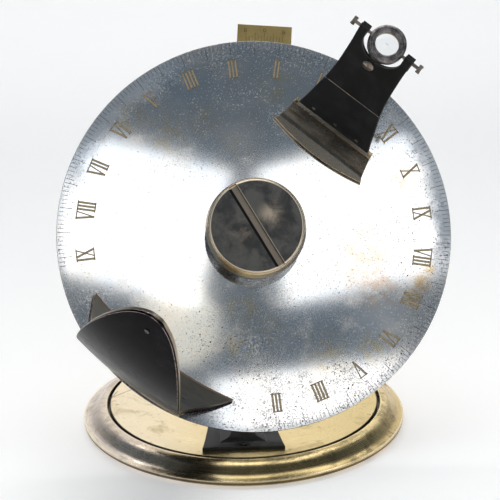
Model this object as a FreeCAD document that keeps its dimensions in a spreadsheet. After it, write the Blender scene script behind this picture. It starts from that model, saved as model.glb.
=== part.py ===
import FreeCAD, Part
import os
import math
import Sketcher
from FreeCAD import Vector, Rotation, Placement

# Heliochronometer: a round silvered hour disc that turns on a polar axis,
# carried by a latitude joint on a flared pedestal, on a moulded round base.
# Frame: +Z up, origin at the middle of the base's underside, dial towards -Y.
# All lengths in millimetres.

doc = FreeCAD.newDocument("heliochronometer")

# ---------------------------------------------------------------- dimensions
DIMS = [
    # base and turntable
    ("base_rad", 82.3), ("base_height", 10.0), ("rim_height", 4.0),
    ("recess_rad", 70.1), ("recess_floor", 7.0), ("under_rad", 71.0),
    ("under_depth", 3.8), ("table_rad", 68.9), ("stud_rad", 6.0),
    # pedestal
    ("ped_x", -2.5), ("slab_half", 20.0), ("slab_waist", 15.0),
    ("slab_len", 61.0), ("slab_thick", 2.0), ("foot_half", 11.4),
    ("head_half", 4.5), ("head_rad", 13.0),
    # latitude joint and polar axis
    ("pivot_y", 20.2), ("pivot_z", 88.0), ("axis_back", 34.0),
    ("polar_tilt", 26.5), ("axis_x", 6.3), ("bolt_rad", 4.0),
    ("running_gap", 0.06),
    # arm
    ("arm_half", 3.5), ("flange_rad", 22.0), ("spindle_rad", 7.0),
    # hour disc and hub
    ("disc_rad", 97.5), ("disc_thick", 3.0), ("hub_top", 28.0),
    ("hub_rad", 24.4), ("cap_rad", 22.6), ("slot_width", 4.1),
    ("slot_depth", 2.6), ("slot_angle", -60.4),
    # sights, in the disc's own plane, measured from its centre
    ("noon_angle", 50.54), ("sight_shift", -0.8), ("lens_dist", 94.1),
    ("lens_height", 84.0), ("ring_rad", 8.95), ("ring_thick", 5.0),
    ("screen_rad", 192.0), ("shell_thick", 1.1), ("liner_thick", 1.2),
    ("leaf_thick", 1.5),
    # vernier
    ("vernier_angle", -4.8), ("vernier_half", 13.65), ("vernier_top", 106.45),
]
sheet = doc.addObject("Spreadsheet::Sheet", "Sizes")
for row, (alias, value) in enumerate(DIMS, start=1):
    sheet.set("A%d" % row, alias)
    sheet.set("B%d" % row, repr(float(value)))
    sheet.setAlias("B%d" % row, alias)
doc.recompute()


def val(alias):
    """Value of a named size."""
    return float(sheet.get(alias))


def bind(obj, prop, size):
    """A size is a plain number or an expression over the sheet's names."""
    if isinstance(size, str):
        obj.setExpression(prop, size)
    else:
        parts = prop.split(".")
        if len(parts) == 1:
            setattr(obj, prop, size)


S = "Sizes."
nodes = []


def place(obj, at, rot=None):
    base = Vector(*[0.0 if isinstance(c, str) else float(c) for c in at])
    obj.Placement = Placement(base, rot if rot else Rotation())
    for axis, c in zip("xyz", at):
        if isinstance(c, str):
            obj.setExpression("Placement.Base." + axis, c)
    return obj


AX = {"z": Rotation(), "x": Rotation(Vector(0, 1, 0), 90),
      "y": Rotation(Vector(1, 0, 0), -90), "-z": Rotation(Vector(1, 0, 0), 180),
      "-x": Rotation(Vector(0, 1, 0), -90)}


def cyl(name, r, length, at=(0, 0, 0), axis="z"):
    o = doc.addObject("Part::Cylinder", name)
    bind(o, "Radius", r)
    bind(o, "Height", length)
    return place(o, at, AX[axis])


def cone(name, r1, r2, length, at=(0, 0, 0), axis="z"):
    o = doc.addObject("Part::Cone", name)
    bind(o, "Radius1", r1)
    bind(o, "Radius2", r2)
    bind(o, "Height", length)
    return place(o, at, AX[axis])


def box(name, lx, ly, lz, at=(0, 0, 0), rot=None):
    """Box given by its lowest corner."""
    o = doc.addObject("Part::Box", name)
    bind(o, "Length", lx)
    bind(o, "Width", ly)
    bind(o, "Height", lz)
    return place(o, at, rot)


def cut(name, base, *tools):
    for i, t in enumerate(tools):
        o = doc.addObject("Part::Cut", name if i == len(tools) - 1 else name + "_cut%d" % i)
        o.Base, o.Tool = base, t
        base = o
    return base


def fuse(name, *objs):
    o = doc.addObject("Part::MultiFuse", name)
    o.Shapes = list(objs)
    o.Refine = True
    return o


def common(name, *objs):
    o = doc.addObject("Part::MultiCommon", name)
    o.Shapes = list(objs)
    return o


def group(name, *objs):
    o = doc.addObject("Part::Compound", name)
    o.Links = list(objs)
    return o


def feature(name, shape):
    o = doc.addObject("Part::Feature", name)
    o.Shape = shape
    return o


def turned(name, pts):
    """Turned piece: closed outline of (radius, height) points, each bound to
    the sheet where it is written as an expression, revolved about Z."""
    body = doc.addObject("PartDesign::Body", name + "_body")
    sk = body.newObject("Sketcher::SketchObject", name + "_outline")
    plane = [f for f in body.Origin.OriginFeatures if f.Role == "XZ_Plane"][0]
    sk.AttachmentSupport = [(plane, "")]
    sk.MapMode = "FlatFace"
    nums = [(evalnum(r), evalnum(z)) for r, z in pts]
    k = len(pts)
    for i in range(k):
        a, b = nums[i], nums[(i + 1) % k]
        sk.addGeometry(Part.LineSegment(Vector(a[0], a[1], 0), Vector(b[0], b[1], 0)), False)
    for i in range(k):
        sk.addConstraint(Sketcher.Constraint("Coincident", i, 2, (i + 1) % k, 1))
    for i in range(k):
        for kind, size, num in (("DistanceX", pts[i][0], nums[i][0]), ("DistanceY", pts[i][1], nums[i][1])):
            if abs(num) < 1e-9:
                ref = -2 if kind == "DistanceX" else -1
                sk.addConstraint(Sketcher.Constraint("PointOnObject", i, 1, ref))
            else:
                c = sk.addConstraint(Sketcher.Constraint(kind, -1, 1, i, 1, num))
                if isinstance(size, str):
                    sk.setExpression("Constraints[%d]" % c, size)
    rev = body.newObject("PartDesign::Revolution", name + "_turning")
    rev.Profile = sk
    rev.ReferenceAxis = (sk, ["V_Axis"])
    rev.Angle = 360.0
    body.Tip = rev
    return body


def evalnum(e):
    if not isinstance(e, str):
        return float(e)
    probe = doc.addObject("App::FeaturePython", "probe")
    probe.addProperty("App::PropertyFloat", "v")
    probe.setExpression("v", e)
    probe.recompute()
    v = float(probe.v)
    doc.removeObject(probe.Name)
    return v


def node(label, obj, frame=None):
    """Names a finished piece, and puts it in its frame."""
    obj.Label = label
    if frame is not None:
        obj.Placement = frame.multiply(obj.Placement)
    nodes.append(obj)
    return obj


def screw(name, head_r, head_t, shank_r, length, at, axis="z", slot=True, sink=False, turn=0.0):
    """Slotted screw: its head's seat is at `at`, the head lies along +axis."""
    if sink:
        head = cone(name + "_head", shank_r, head_r, head_t)
        z_top = head_t
    else:
        head = cyl(name + "_head", head_r, head_t)
        z_top = head_t
    shank = cyl(name + "_shank", shank_r, length, (0, 0, -length))
    body = fuse(name + "_solid", head, shank)
    if slot:
        w = max(0.5, 0.28 * head_r)
        d = 0.45 * head_t
        sl = box(name + "_slot", 2 * head_r + 2, w, d + 1, (-head_r - 1, -w / 2, z_top - d))
        body = cut(name, body, sl)
    rot = AX[axis].multiply(Rotation(Vector(0, 0, 1), turn))
    return place(body, at, rot)


# ------------------------------------------------------------------- frames
tilt = math.radians(val("polar_tilt"))
disc_centre = Vector(val("axis_x"),
                     val("pivot_y") - val("axis_back") * math.cos(tilt),
                     val("pivot_z") + val("axis_back") * math.sin(tilt))
# disc frame: X to the right, Y up the dial, Z out of its face along the pole
DISC = Placement(disc_centre, Rotation(Vector(1, 0, 0), 90 - val("polar_tilt")))
# sight frame: Y from the centre to the lens, X across, Z out of the dial
SIGHT = DISC.multiply(Placement(Vector(0, 0, 0), Rotation(Vector(0, 0, 1), val("noon_angle") - 90)))
SIGHT = SIGHT.multiply(Placement(Vector(val("sight_shift"), 0, 0), Rotation()))
# vernier frame: turned about the polar axis
VERN = DISC.multiply(Placement(Vector(0, 0, 0), Rotation(Vector(0, 0, 1), val("vernier_angle"))))
PIVOT = Vector(0, val("pivot_y"), val("pivot_z"))

# --------------------------------------------------------------------- base
# Round base, turned from a blank whose underside slopes in at the edge.
blank = turned("base", [
    (9.5, S + "under_depth"), (S + "under_rad", S + "under_depth"), (S + "under_rad + 1.5", 0),
    (S + "base_rad - 3.4", 0), (S + "base_rad - 1.1", 1.0), (S + "base_rad - 0.15", 1.9), (S + "base_rad", 2.3),
    (S + "base_rad", S + "base_height"),
    (S + "recess_rad + 0.25", S + "base_height"), (S + "recess_rad", S + "base_height - 0.25"),
    (S + "recess_rad", S + "recess_floor"), (9.5, S + "recess_floor")])
# Its edge is one ogee: a round shoulder that sweeps out to a thin square lip.
br, rh = val("base_rad"), val("rim_height")
ogee = Part.BSplineCurve()
ogee.interpolate([Vector(r, 0, z) for r, z in (
    (br + 0.9, rh - 0.68), (br, rh - 0.22), (br - 1.0, rh + 0.02), (br - 2.1, rh + 0.32), (br - 3.3, rh + 0.86),
    (br - 4.5, rh + 1.72), (br - 5.6, rh + 2.85), (br - 6.8, rh + 4.12), (br - 8.1, rh + 5.1),
    (br - 9.6, rh + 5.72), (br - 10.9, rh + 5.98), (br - 11.7, rh + 6.06))])
ogee_face = Part.Face(Part.Wire([
    ogee.toShape(), Part.makeLine(Vector(br - 11.7, 0, rh + 6.06), Vector(br - 11.7, 0, rh + 8)),
    Part.makeLine(Vector(br - 11.7, 0, rh + 8), Vector(br + 0.9, 0, rh + 8)),
    Part.makeLine(Vector(br + 0.9, 0, rh + 8), Vector(br + 0.9, 0, rh - 0.68))]))
ogee_tool = feature("base_ogee_tool", ogee_face.revolve(Vector(0, 0, 0), Vector(0, 0, 1), 360))
base = cut("base_moulded", blank, ogee_tool)
base_bore = cyl("base_bore", S + "stud_rad + " + S + "running_gap", 10, (0, 0, 0))
base_web = cyl("base_web", 10.0, S + "recess_floor - " + S + "under_depth", (0, 0, S + "under_depth"))
node("base_plate", cut("base_plate_solid", fuse("base_with_hub", base, base_web), base_bore))

# Soft pad that closes the hollow underside and stands flush with it.
pad = turned("pad", [(0, 0), (S + "under_rad + 1.35", 0), (S + "under_rad + 1.0", 0.8), (0, 0.8)])
node("base_pad", pad)

# Turntable: flat disc in the base's recess; it swings the dial to the meridian.
table = turned("table", [
    (0, S + "recess_floor + 0.05"), (S + "table_rad", S + "recess_floor + 0.05"),
    (S + "table_rad", S + "base_height - 0.35"), (S + "table_rad - 0.35", S + "base_height"), (0, S + "base_height")])
table_hole = cyl("table_hole", 3.0, 6, (0, 0, 5))
ped_holes = [cyl("table_screw_hole%d" % i, 2.0, 6, (S + "ped_x", y, 5)) for i, y in enumerate((-38.0, 0.0, 38.0)) if y]
slab_holes = [cyl("table_slab_hole%d" % i, 1.0, 6, (S + "ped_x", y, 5)) for i, y in enumerate((-58.6, 58.6))]
sinks = [cone("table_sink%d" % i, 3.5, 2.0, 1.5, (S + "ped_x", y, S + "recess_floor + 0.05")) for i, y in enumerate((-38.0, 38.0))]
node("turntable_plate", cut("turntable_solid", table, table_hole, *ped_holes, *slab_holes, *sinks))

# Azimuth stud under the turntable, with its spring washer and ring nut.
stud = turned("stud", [
    (0, 1.5), (S + "stud_rad - 1.5", 1.5), (S + "stud_rad - 1.5", 3.0), (S + "stud_rad", 3.0),
    (S + "stud_rad", S + "recess_floor + 0.05"), (3.0, S + "recess_floor + 0.05"), (3.0, 9.6), (0, 9.6)])
node("azimuth_stud", stud)
spring = cut("azimuth_spring_solid", cone("azimuth_spring_cone", 9.0, 8.6, 0.6, (0, 0, 3.1)),
             cyl("azimuth_spring_hole", S + "stud_rad + 0.1", 3, (0, 0, 2)))
node("azimuth_spring_washer", spring)
ringnut = cut("azimuth_nut_solid", cyl("azimuth_nut_disc", 8.6, 1.9, (0, 0, 1.15)),
              cyl("azimuth_nut_hole", S + "stud_rad - 1.5", 4, (0, 0, 0)),
              cyl("azimuth_nut_counter", S + "stud_rad + 0.02", 2, (0, 0, 2.95)),
              box("azimuth_nut_slot", 20, 1.6, 1.0, (-10, -0.8, 0.85)))
node("azimuth_lock_nut", ringnut)

# ----------------------------------------------------------------- pedestal
# Foot slab, waisted in plan, long in the meridian.
half, waist, length = val("slab_half"), val("slab_waist"), val("slab_len")
side = Part.Arc(Vector(half, -length, 0), Vector(waist, 0, 0), Vector(half, length, 0)).toShape()
back = Part.makeLine(Vector(half, length, 0), Vector(-half, length, 0))
other = Part.Arc(Vector(-half, length, 0), Vector(-waist, 0, 0), Vector(-half, -length, 0)).toShape()
front = Part.makeLine(Vector(-half, -length, 0), Vector(half, -length, 0))
slab_face = Part.Face(Part.Wire([side, back, other, front]))
slab_shape = slab_face.extrude(Vector(0, 0, val("slab_thick")))
top_edges = [e for e in slab_shape.Edges
             if all(abs(vx.Point.z - val("slab_thick")) < 1e-6 for vx in e.Vertexes)]
slab_shape = slab_shape.makeChamfer(0.35, top_edges)
slab_raw = feature("slab_raw", slab_shape)
slab_raw.Placement = Placement(Vector(val("ped_x"), 0, val("base_height")), Rotation())
slab = cut("slab_solid", slab_raw,
           *[cyl("slab_hole%d" % i, 2.0, 6, (S + "ped_x", y, 8)) for i, y in enumerate((-38.0, 38.0))],
           *[cyl("slab_end_hole%d" % i, 1.0, 6, (S + "ped_x", y, 8)) for i, y in enumerate((-58.6, 58.6))])
node("pedestal_slab", slab)

# Column: four concave faces sweeping from a wide foot to flat cheeks.
z0 = val("base_height") + val("slab_thick")
py, pz, hr = val("pivot_y"), val("pivot_z"), val("head_rad")
sections = [  # height, half width, front, back
    (z0, val("foot_half"), -56.0, 56.0), (z0 + 0.8, 8.2, -53.0, 54.2), (z0 + 2.0, 5.6, -48.6, 52.0),
    (z0 + 4.5, 4.75, -42.0, 49.0), (z0 + 9.0, val("head_half"), -33.5, 45.6),
    (z0 + 16.0, val("head_half"), -23.5, 42.0), (z0 + 26.0, val("head_half"), -13.0, 38.8),
    (z0 + 38.0, val("head_half"), -3.6, 36.2), (z0 + 52.0, val("head_half"), 3.4, 34.2),
    (z0 + 66.0, val("head_half"), 6.8, 33.3), (pz, val("head_half"), py - hr, py + hr)]


def curve(pick):
    c = Part.BSplineCurve()
    c.interpolate([Vector(0, pick(sec), sec[0]) for sec in sections])
    return c


front_c = curve(lambda q: q[2])
back_c = curve(lambda q: q[3])
outline = Part.Wire([front_c.toShape(),
                     Part.Arc(Vector(0, py - hr, pz), Vector(0, py, pz + hr), Vector(0, py + hr, pz)).toShape(),
                     back_c.toShape(),
                     Part.makeLine(Vector(0, sections[0][3], z0), Vector(0, sections[0][2], z0))])
blade = Part.Face(outline).extrude(Vector(60, 0, 0))
blade.translate(Vector(-30, 0, 0))
wide = Part.BSplineCurve()
wide.interpolate([Vector(q[1], 0, q[0]) for q in sections[:5]])
narrow = Part.BSplineCurve()
narrow.interpolate([Vector(-q[1], 0, q[0]) for q in sections[:5]])
zt, zh, hh = sections[4][0], pz + hr + 1, val("head_half")
profile = Part.Wire([wide.toShape(), Part.makeLine(Vector(hh, 0, zt), Vector(hh, 0, zh)),
                     Part.makeLine(Vector(hh, 0, zh), Vector(-hh, 0, zh)),
                     Part.makeLine(Vector(-hh, 0, zh), Vector(-hh, 0, zt)), narrow.toShape(),
                     Part.makeLine(Vector(-sections[0][1], 0, z0), Vector(sections[0][1], 0, z0))])
across = Part.Face(profile).extrude(Vector(0, 160, 0))
across.translate(Vector(0, -80, 0))
column_raw = feature("column_raw", blade.common(across))
column_raw.Placement = Placement(Vector(val("ped_x"), 0, 0), Rotation())
window = feature("column_window", Part.Face(Part.Wire([
    Part.Arc(Vector(0, 4, 30), Vector(0, 12, 24), Vector(0, 24, 30)).toShape(),
    Part.makeLine(Vector(0, 24, 30), Vector(0, 23, 52)),
    Part.Arc(Vector(0, 23, 52), Vector(0, 18, 57), Vector(0, 14, 52)).toShape(),
    Part.makeLine(Vector(0, 14, 52), Vector(0, 4, 30))])).extrude(Vector(20, 0, 0)))
window.Placement = Placement(Vector(val("ped_x") - 10, 0, 0), Rotation())
column = cut("column_solid", column_raw, window,
             cyl("column_bolt_bore", S + "bolt_rad", 30, (-20, S + "pivot_y", S + "pivot_z"), "x"),
             box("column_key", 2.0, 9.0, 9.0, (S + "ped_x - " + S + "head_half", S + "pivot_y - 4.5", S + "pivot_z - 4.5")),
             *[cyl("column_tap%d" % i, 2.0, 9.0, (S + "ped_x", y, z0 - 1)) for i, y in enumerate((-38.0, 38.0))],
             *[cyl("column_quad_tap%d" % i, 1.25, 6.0,
                   (S + "ped_x + " + S + "head_half - 5", py + 21.0 * math.cos(math.radians(a)),
                    pz + 21.0 * math.sin(math.radians(a))), "x") for i, a in enumerate((-62.0, -80.0))])
node("pedestal_column", column)

ped_screws = [screw("pedestal_screw%d" % i, 3.4, 1.4, 2.0, 8.0,
                    (S + "ped_x", y, 8.5), "-z", sink=True) for i, y in enumerate((-38.0, 38.0))]
node("pedestal_screws", group("pedestal_screw_set", *ped_screws))
slab_screws = [screw("slab_screw%d" % i, 1.7, 0.9, 1.0, 4.6,
                     (S + "ped_x", y, 12.0), "z", turn=35 + 70 * i) for i, y in enumerate((-58.6, 58.6))]
node("slab_screws", group("slab_screw_set", *slab_screws))

# Latitude quadrant on the column's right cheek, behind the pivot.
quad_in = cyl("quad_inner", 15.5, 4, (0, 0, -1))
quad_out = doc.addObject("Part::Cylinder", "quad_outer")
quad_out.Radius, quad_out.Height, quad_out.Angle = 37.0, 1.6, 74.0
quad = cut("quad_solid", quad_out, quad_in,
           *[cyl("quad_hole%d" % i, 1.25, 4, (21.0 * math.cos(math.radians(a)), 21.0 * math.sin(math.radians(a)), -1))
             for i, a in enumerate((22.0, 4.0))])
# local X runs down from the pivot, the sector opens backwards and upwards
quad.Placement = Placement(Vector(val("ped_x") + val("head_half"), py, pz),
                           Rotation(Vector(0, 1, 0), Vector(0, 0, 1), Vector(1, 0, 0), "ZXY"))
quad.Placement = Placement(quad.Placement.Base, quad.Placement.Rotation.multiply(Rotation(Vector(0, 0, 1), -84.0)))
node("latitude_quadrant", quad)
quad_screws = [screw("quad_screw%d" % i, 2.2, 0.5, 1.25, 5.5,
                     (val("ped_x") + val("head_half") + 1.6, py + 21.0 * math.cos(math.radians(a)),
                      pz + 21.0 * math.sin(math.radians(a))), "x", turn=20 + 50 * i) for i, a in enumerate((-62.0, -80.0))]
node("quadrant_screws", group("quadrant_screw_set", *quad_screws))

# Pivot bolt: domed head and square neck in the column, shank through the arm.
x_in = val("ped_x") - val("head_half")
x_face = val("ped_x") + val("head_half")
arm_in = val("axis_x") - val("arm_half")
arm_out = val("axis_x") + val("arm_half")
bolt_dome = common("bolt_dome", cyl("bolt_dome_rim", 8.0, 6, (x_in, S + "pivot_y", S + "pivot_z"), "-x"),
                   place(doc.addObject("Part::Sphere", "bolt_dome_ball"), (x_in + 9.0, py, pz)))
doc.getObject("bolt_dome_ball").Radius = 12.6
bolt_key = box("bolt_key", 2.0, 8.9, 8.9, (x_in, S + "pivot_y - 4.45", S + "pivot_z - 4.45"))
bolt_shank = cyl("bolt_shank", S + "bolt_rad", arm_out + 14.0 - x_in, (x_in, S + "pivot_y", S + "pivot_z"), "x")
node("pivot_bolt", fuse("bolt_solid", bolt_dome, bolt_key, bolt_shank))
friction = cut("friction_solid", cyl("friction_disc", 12.5, arm_in - x_face - 0.1, (x_face, S + "pivot_y", S + "pivot_z"), "x"),
               cyl("friction_hole", S + "bolt_rad + 0.05", 6, (x_face - 2, S + "pivot_y", S + "pivot_z"), "x"))
node("pivot_friction_washer", friction)
flat_w = cut("flat_washer_solid", cyl("flat_washer_disc", 9.5, 1.2, (arm_out + 0.1, S + "pivot_y", S + "pivot_z"), "x"),
             cyl("flat_washer_hole", S + "bolt_rad + 0.05", 6, (arm_out - 2, S + "pivot_y", S + "pivot_z"), "x"))
node("pivot_flat_washer", flat_w)

# Wing nut that clamps the latitude.
xn = arm_out + 1.5
hub = fuse("wing_hub", cyl("wing_seat", 7.0, 2.0, (xn, S + "pivot_y", S + "pivot_z"), "x"),
           cone("wing_barrel", 6.4, 4.9, 7.0, (xn + 2.0, S + "pivot_y", S + "pivot_z"), "x"))
wing_pts = [(4.0, 2.6), (7.2, 3.4), (10.6, 6.0), (12.8, 9.4), (13.4, 12.6), (12.2, 14.4), (9.8, 14.0),
            (7.6, 11.6), (5.8, 9.0), (4.0, 8.2)]
wing_c = Part.BSplineCurve()
wing_c.interpolate([Vector(0, a, b) for a, b in wing_pts])
wing_wire = Part.Wire([wing_c.toShape(), Part.makeLine(Vector(0, 4.0, 8.2), Vector(0, 4.0, 2.6))])
wing = Part.Face(wing_wire).extrude(Vector(2.2, 0, 0))
wing.translate(Vector(-1.1, 0, 0))
wing2 = wing.mirror(Vector(0, 0, 0), Vector(0, 1, 0))
wings = feature("wing_leaves", Part.makeCompound([wing, wing2]))
# local: Z along the bolt, Y across the wings
wings.Placement = Placement(Vector(xn, py, pz), Rotation(Vector(0, 0, 1), 38).multiply(Rotation()))
wings.Placement = Placement(Vector(xn, py, pz), Rotation(Vector(1, 0, 0), 25).multiply(Rotation(Vector(0, 1, 0), 90)))
nut = cut("wing_nut_solid", fuse("wing_nut_raw", hub, wings),
          cyl("wing_nut_bore", S + "bolt_rad + " + S + "running_gap", 20, (xn - 2, S + "pivot_y", S + "pivot_z"), "x"))
node("clamp_wing_nut", nut)

# ---------------------------------------------------------------------- arm
# Cheek on the pivot, neck and round flange square to the polar axis.
ab = val("axis_back")
boss = cyl("arm_boss", S + "head_rad", S + "arm_half * 2", (-val("arm_half"), 0, -ab), "x")
neck_face = Part.Face(Part.Wire([
    Part.makeLine(Vector(0, 12.0, -ab + 4.8), Vector(0, 9.0, -24.0)),
    Part.makeLine(Vector(0, 9.0, -24.0), Vector(0, 11.0, -19.0)),
    Part.makeLine(Vector(0, 11.0, -19.0), Vector(0, 17.0, -16.3)),
    Part.makeLine(Vector(0, 17.0, -16.3), Vector(0, -17.0, -16.3)),
    Part.makeLine(Vector(0, -17.0, -16.3), Vector(0, -11.0, -19.0)),
    Part.makeLine(Vector(0, -11.0, -19.0), Vector(0, -9.0, -24.0)),
    Part.makeLine(Vector(0, -9.0, -24.0), Vector(0, -12.0, -ab + 4.8)),
    Part.makeLine(Vector(0, -12.0, -ab + 4.8), Vector(0, 12.0, -ab + 4.8))]))
neck = feature("arm_neck", neck_face.extrude(Vector(2 * val("arm_half"), 0, 0)))
neck.Placement = Placement(Vector(-val("arm_half"), 0, 0), Rotation())
flange = cyl("arm_flange", S + "flange_rad", 3.2, (0, 0, -16.5))
spigot = cyl("arm_spigot", 13.0, 2.6, (0, 0, -13.4))
arm = fuse("arm_raw", boss, neck, flange, spigot)
arm = cut("arm_solid", arm,
          cyl("arm_pivot_bore", S + "bolt_rad + " + S + "running_gap", 20, (-10, 0, -ab), "x"),
          cyl("arm_spindle_bore", 3.0, 16, (0, 0, -24.0)),
          *[cyl("arm_clamp_tap%d" % i, 1.5, 8, (x, 0, -18.0)) for i, x in enumerate((-17.5, 17.5))],
          box("arm_index_slot", 2.0, 6.0, 8.0, (-1.0, -3.0, -ab - 14.0)))
node("bearing_arm", arm, DISC)
index_pts = Part.Face(Part.makePolygon([Vector(0, -3.0, -ab - 6.0), Vector(0, 3.0, -ab - 6.0), Vector(0, 3.0, -ab - 15.0),
                                        Vector(0, 0.25, -ab - 33.0), Vector(0, -0.25, -ab - 33.0), Vector(0, -3.0, -ab - 15.0),
                                        Vector(0, -3.0, -ab - 6.0)]))
index = feature("index_raw", index_pts.extrude(Vector(2.0, 0, 0)))
index.Placement = Placement(Vector(-1.0, 0, 0), Rotation())
index = cut("index_solid", index, cyl("index_hole", 1.0, 6, (-3, 0, -ab - 9.5), "x"))
node("latitude_index", index, DISC)
pin = cyl("index_pin_rod", 1.0, 7.0, (-3.5, 0, -ab - 9.5), "x")
arm.Base = cut("arm_index_cut", arm.Base, cyl("arm_index_pin_bore", 1.0, 12, (-6, 0, -ab - 9.5), "x"))
node("index_pin", group("index_pin_set", pin), DISC)

# Polar spindle: screwed tail, thrust collar, journal, threaded end.
spindle = turned("spindle", [
    (0, -24.0), (3.0, -24.0), (3.0, -10.8), (12.0, -10.8), (12.0, -4.3), (S + "spindle_rad", -4.3),
    (S + "spindle_rad", 6.6), (5.0, 6.6), (5.0, 15.0), (4.3, 15.8), (0, 15.8)])
node("polar_spindle", spindle, DISC)
thrust = cut("thrust_solid", cyl("thrust_disc", 12.0, 1.1, (0, 0, -4.25)),
             cyl("thrust_hole", S + "spindle_rad + 0.1", 6, (0, 0, -6)))
node("thrust_washer", thrust, DISC)
fr = turned("friction_spring", [
    (S + "spindle_rad - 1.8", 7.15), (15.2, 5.15), (15.2, 5.95), (S + "spindle_rad - 1.8", 7.95)])
node("friction_spring", fr, DISC)
hexw = Part.Face(Part.makePolygon([Vector(9.0 * math.cos(math.radians(60 * i)), 9.0 * math.sin(math.radians(60 * i)), 0)
                                   for i in range(7)])).extrude(Vector(0, 0, 5.0))
hex_raw = feature("nut_hex", hexw)
hex_raw.Placement = Placement(Vector(0, 0, 8.0), Rotation())
node("spindle_nut", cut("nut_solid", hex_raw, cyl("nut_bore", 5.0, 8, (0, 0, 7.0))), DISC)

clamp_screws = [screw("vernier_clamp%d" % i, 2.7, 1.2, 1.5, 5.0, (x, 0, -11.15), "z", turn=40 - 60 * i)
                for i, x in enumerate((-17.5, 17.5))]
node("vernier_clamp_screws", group("vernier_clamp_set", *clamp_screws), DISC)

# ------------------------------------------------------------------ vernier
ring_v = cyl("vernier_ring", 21.6, 2.0, (0, 0, -13.25))
strip = Part.Face(Part.makePolygon([Vector(-9, 15, 0), Vector(9, 15, 0), Vector(8, 86, 0), Vector(-8, 86, 0), Vector(-9, 15, 0)]))
strip_o = feature("vernier_strip", strip.extrude(Vector(0, 0, 2.0)))
strip_o.Placement = Placement(Vector(0, 0, -13.25), Rotation())
ramp = Part.Face(Part.makePolygon([Vector(0, 84.0, -13.25), Vector(0, 86.2, -13.25), Vector(0, 92.6, -6.5), Vector(0, 104.0, -6.5),
                                   Vector(0, 104.0, -4.7), Vector(0, 91.6, -4.7), Vector(0, 85.4, -11.25), Vector(0, 84.0, -11.25),
                                   Vector(0, 84.0, -13.25)])).extrude(Vector(18, 0, 0))
ramp_o = feature("vernier_ramp", ramp)
ramp_o.Placement = Placement(Vector(-9, 0, 0), Rotation())


def arc_slot(name, angle):
    outer = doc.addObject("Part::Cylinder", name + "_outer")
    outer.Radius, outer.Height, outer.Angle = 19.3, 8.0, 27.5
    inner = cyl(name + "_inner", 15.7, 10, (0, 0, -1))
    o = cut(name, outer, inner)
    o.Placement = Placement(Vector(0, 0, -16), Rotation(Vector(0, 0, 1), angle - 13.75))
    return o


# the slots are centred on the clamp screws at rest
shift = -val("vernier_angle")
v_arm = cut("vernier_arm_solid", fuse("vernier_arm_raw", ring_v, strip_o, ramp_o),
            cyl("vernier_bore", 13.0 + val("running_gap"), 10, (0, 0, -16)),
            arc_slot("vernier_slot_a", 0 + shift), arc_slot("vernier_slot_b", 180 + shift),
            *[cyl("vernier_rivet_hole%d" % i, 1.0, 6, (x, 99.0, -8)) for i, x in enumerate((-6.0, 6.0))])
node("vernier_arm", v_arm, VERN)
vp = box("vernier_plate_blank", S + "vernier_half * 2", S + "vernier_top - 92.0", 1.25, ("-" + S + "vernier_half", 92.0, -4.7))
vp = cut("vernier_plate_solid", vp, *[cyl("vernier_plate_hole%d" % i, 1.0, 6, (x, 99.0, -8)) for i, x in enumerate((-6.0, 6.0))])
node("vernier_plate", vp, VERN)
v_screws = [screw("vernier_screw%d" % i, 1.9, 0.9, 1.0, 3.0, (x, 99.0, -6.5), "-z", turn=25 + 65 * i)
            for i, x in enumerate((-6.0, 6.0))]
node("vernier_plate_screws", group("vernier_screw_set", *v_screws), VERN)

# ---------------------------------------------------------------- hour disc
disc = turned("disc", [
    (S + "spindle_rad + 4.0", "-" + S + "disc_thick"), (S + "disc_rad - 1.0", "-" + S + "disc_thick"),
    (S + "disc_rad", "-" + S + "disc_thick + 1.0"), (S + "disc_rad", -0.2),
    (S + "disc_rad - 0.2", 0), (S + "spindle_rad + 4.0", 0)])
shift_x = val("sight_shift")
na = math.radians(val("noon_angle") - 90)


def on_disc(x, y):
    """Sight-frame point to disc-frame coordinates."""
    x += shift_x
    return (x * math.cos(na) - y * math.sin(na), x * math.sin(na) + y * math.cos(na))


barrel_pts = [(17.0 * math.cos(math.radians(a)), 17.0 * math.sin(math.radians(a))) for a in (45, 135, 225, 315)]
bracket_pts = [(-18.0, 52.6), (0.0, 51.4), (18.0, 52.6)]
screen_pts = [(-12.0, -85.6), (0.0, -85.6), (12.0, -85.6)]
disc_holes = [cyl("disc_barrel_hole%d" % i, 1.5, 6, (x, y, -5)) for i, (x, y) in enumerate(barrel_pts)]
disc_sinks = [cone("disc_barrel_sink%d" % i, 3.0, 1.5, 1.5, (x, y, -3.0)) for i, (x, y) in enumerate(barrel_pts)]
disc_holes += [cyl("disc_sight_hole%d" % i, 1.0, 6, on_disc(x, y) + (-5,)) for i, (x, y) in enumerate(bracket_pts + screen_pts)]
disc_sinks += [cone("disc_sight_sink%d" % i, 2.0, 1.0, 1.0, on_disc(x, y) + (-3.0,)) for i, (x, y) in enumerate(bracket_pts + screen_pts)]
node("hour_disc", cut("hour_disc_solid", disc, *disc_holes, *disc_sinks), DISC)

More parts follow.
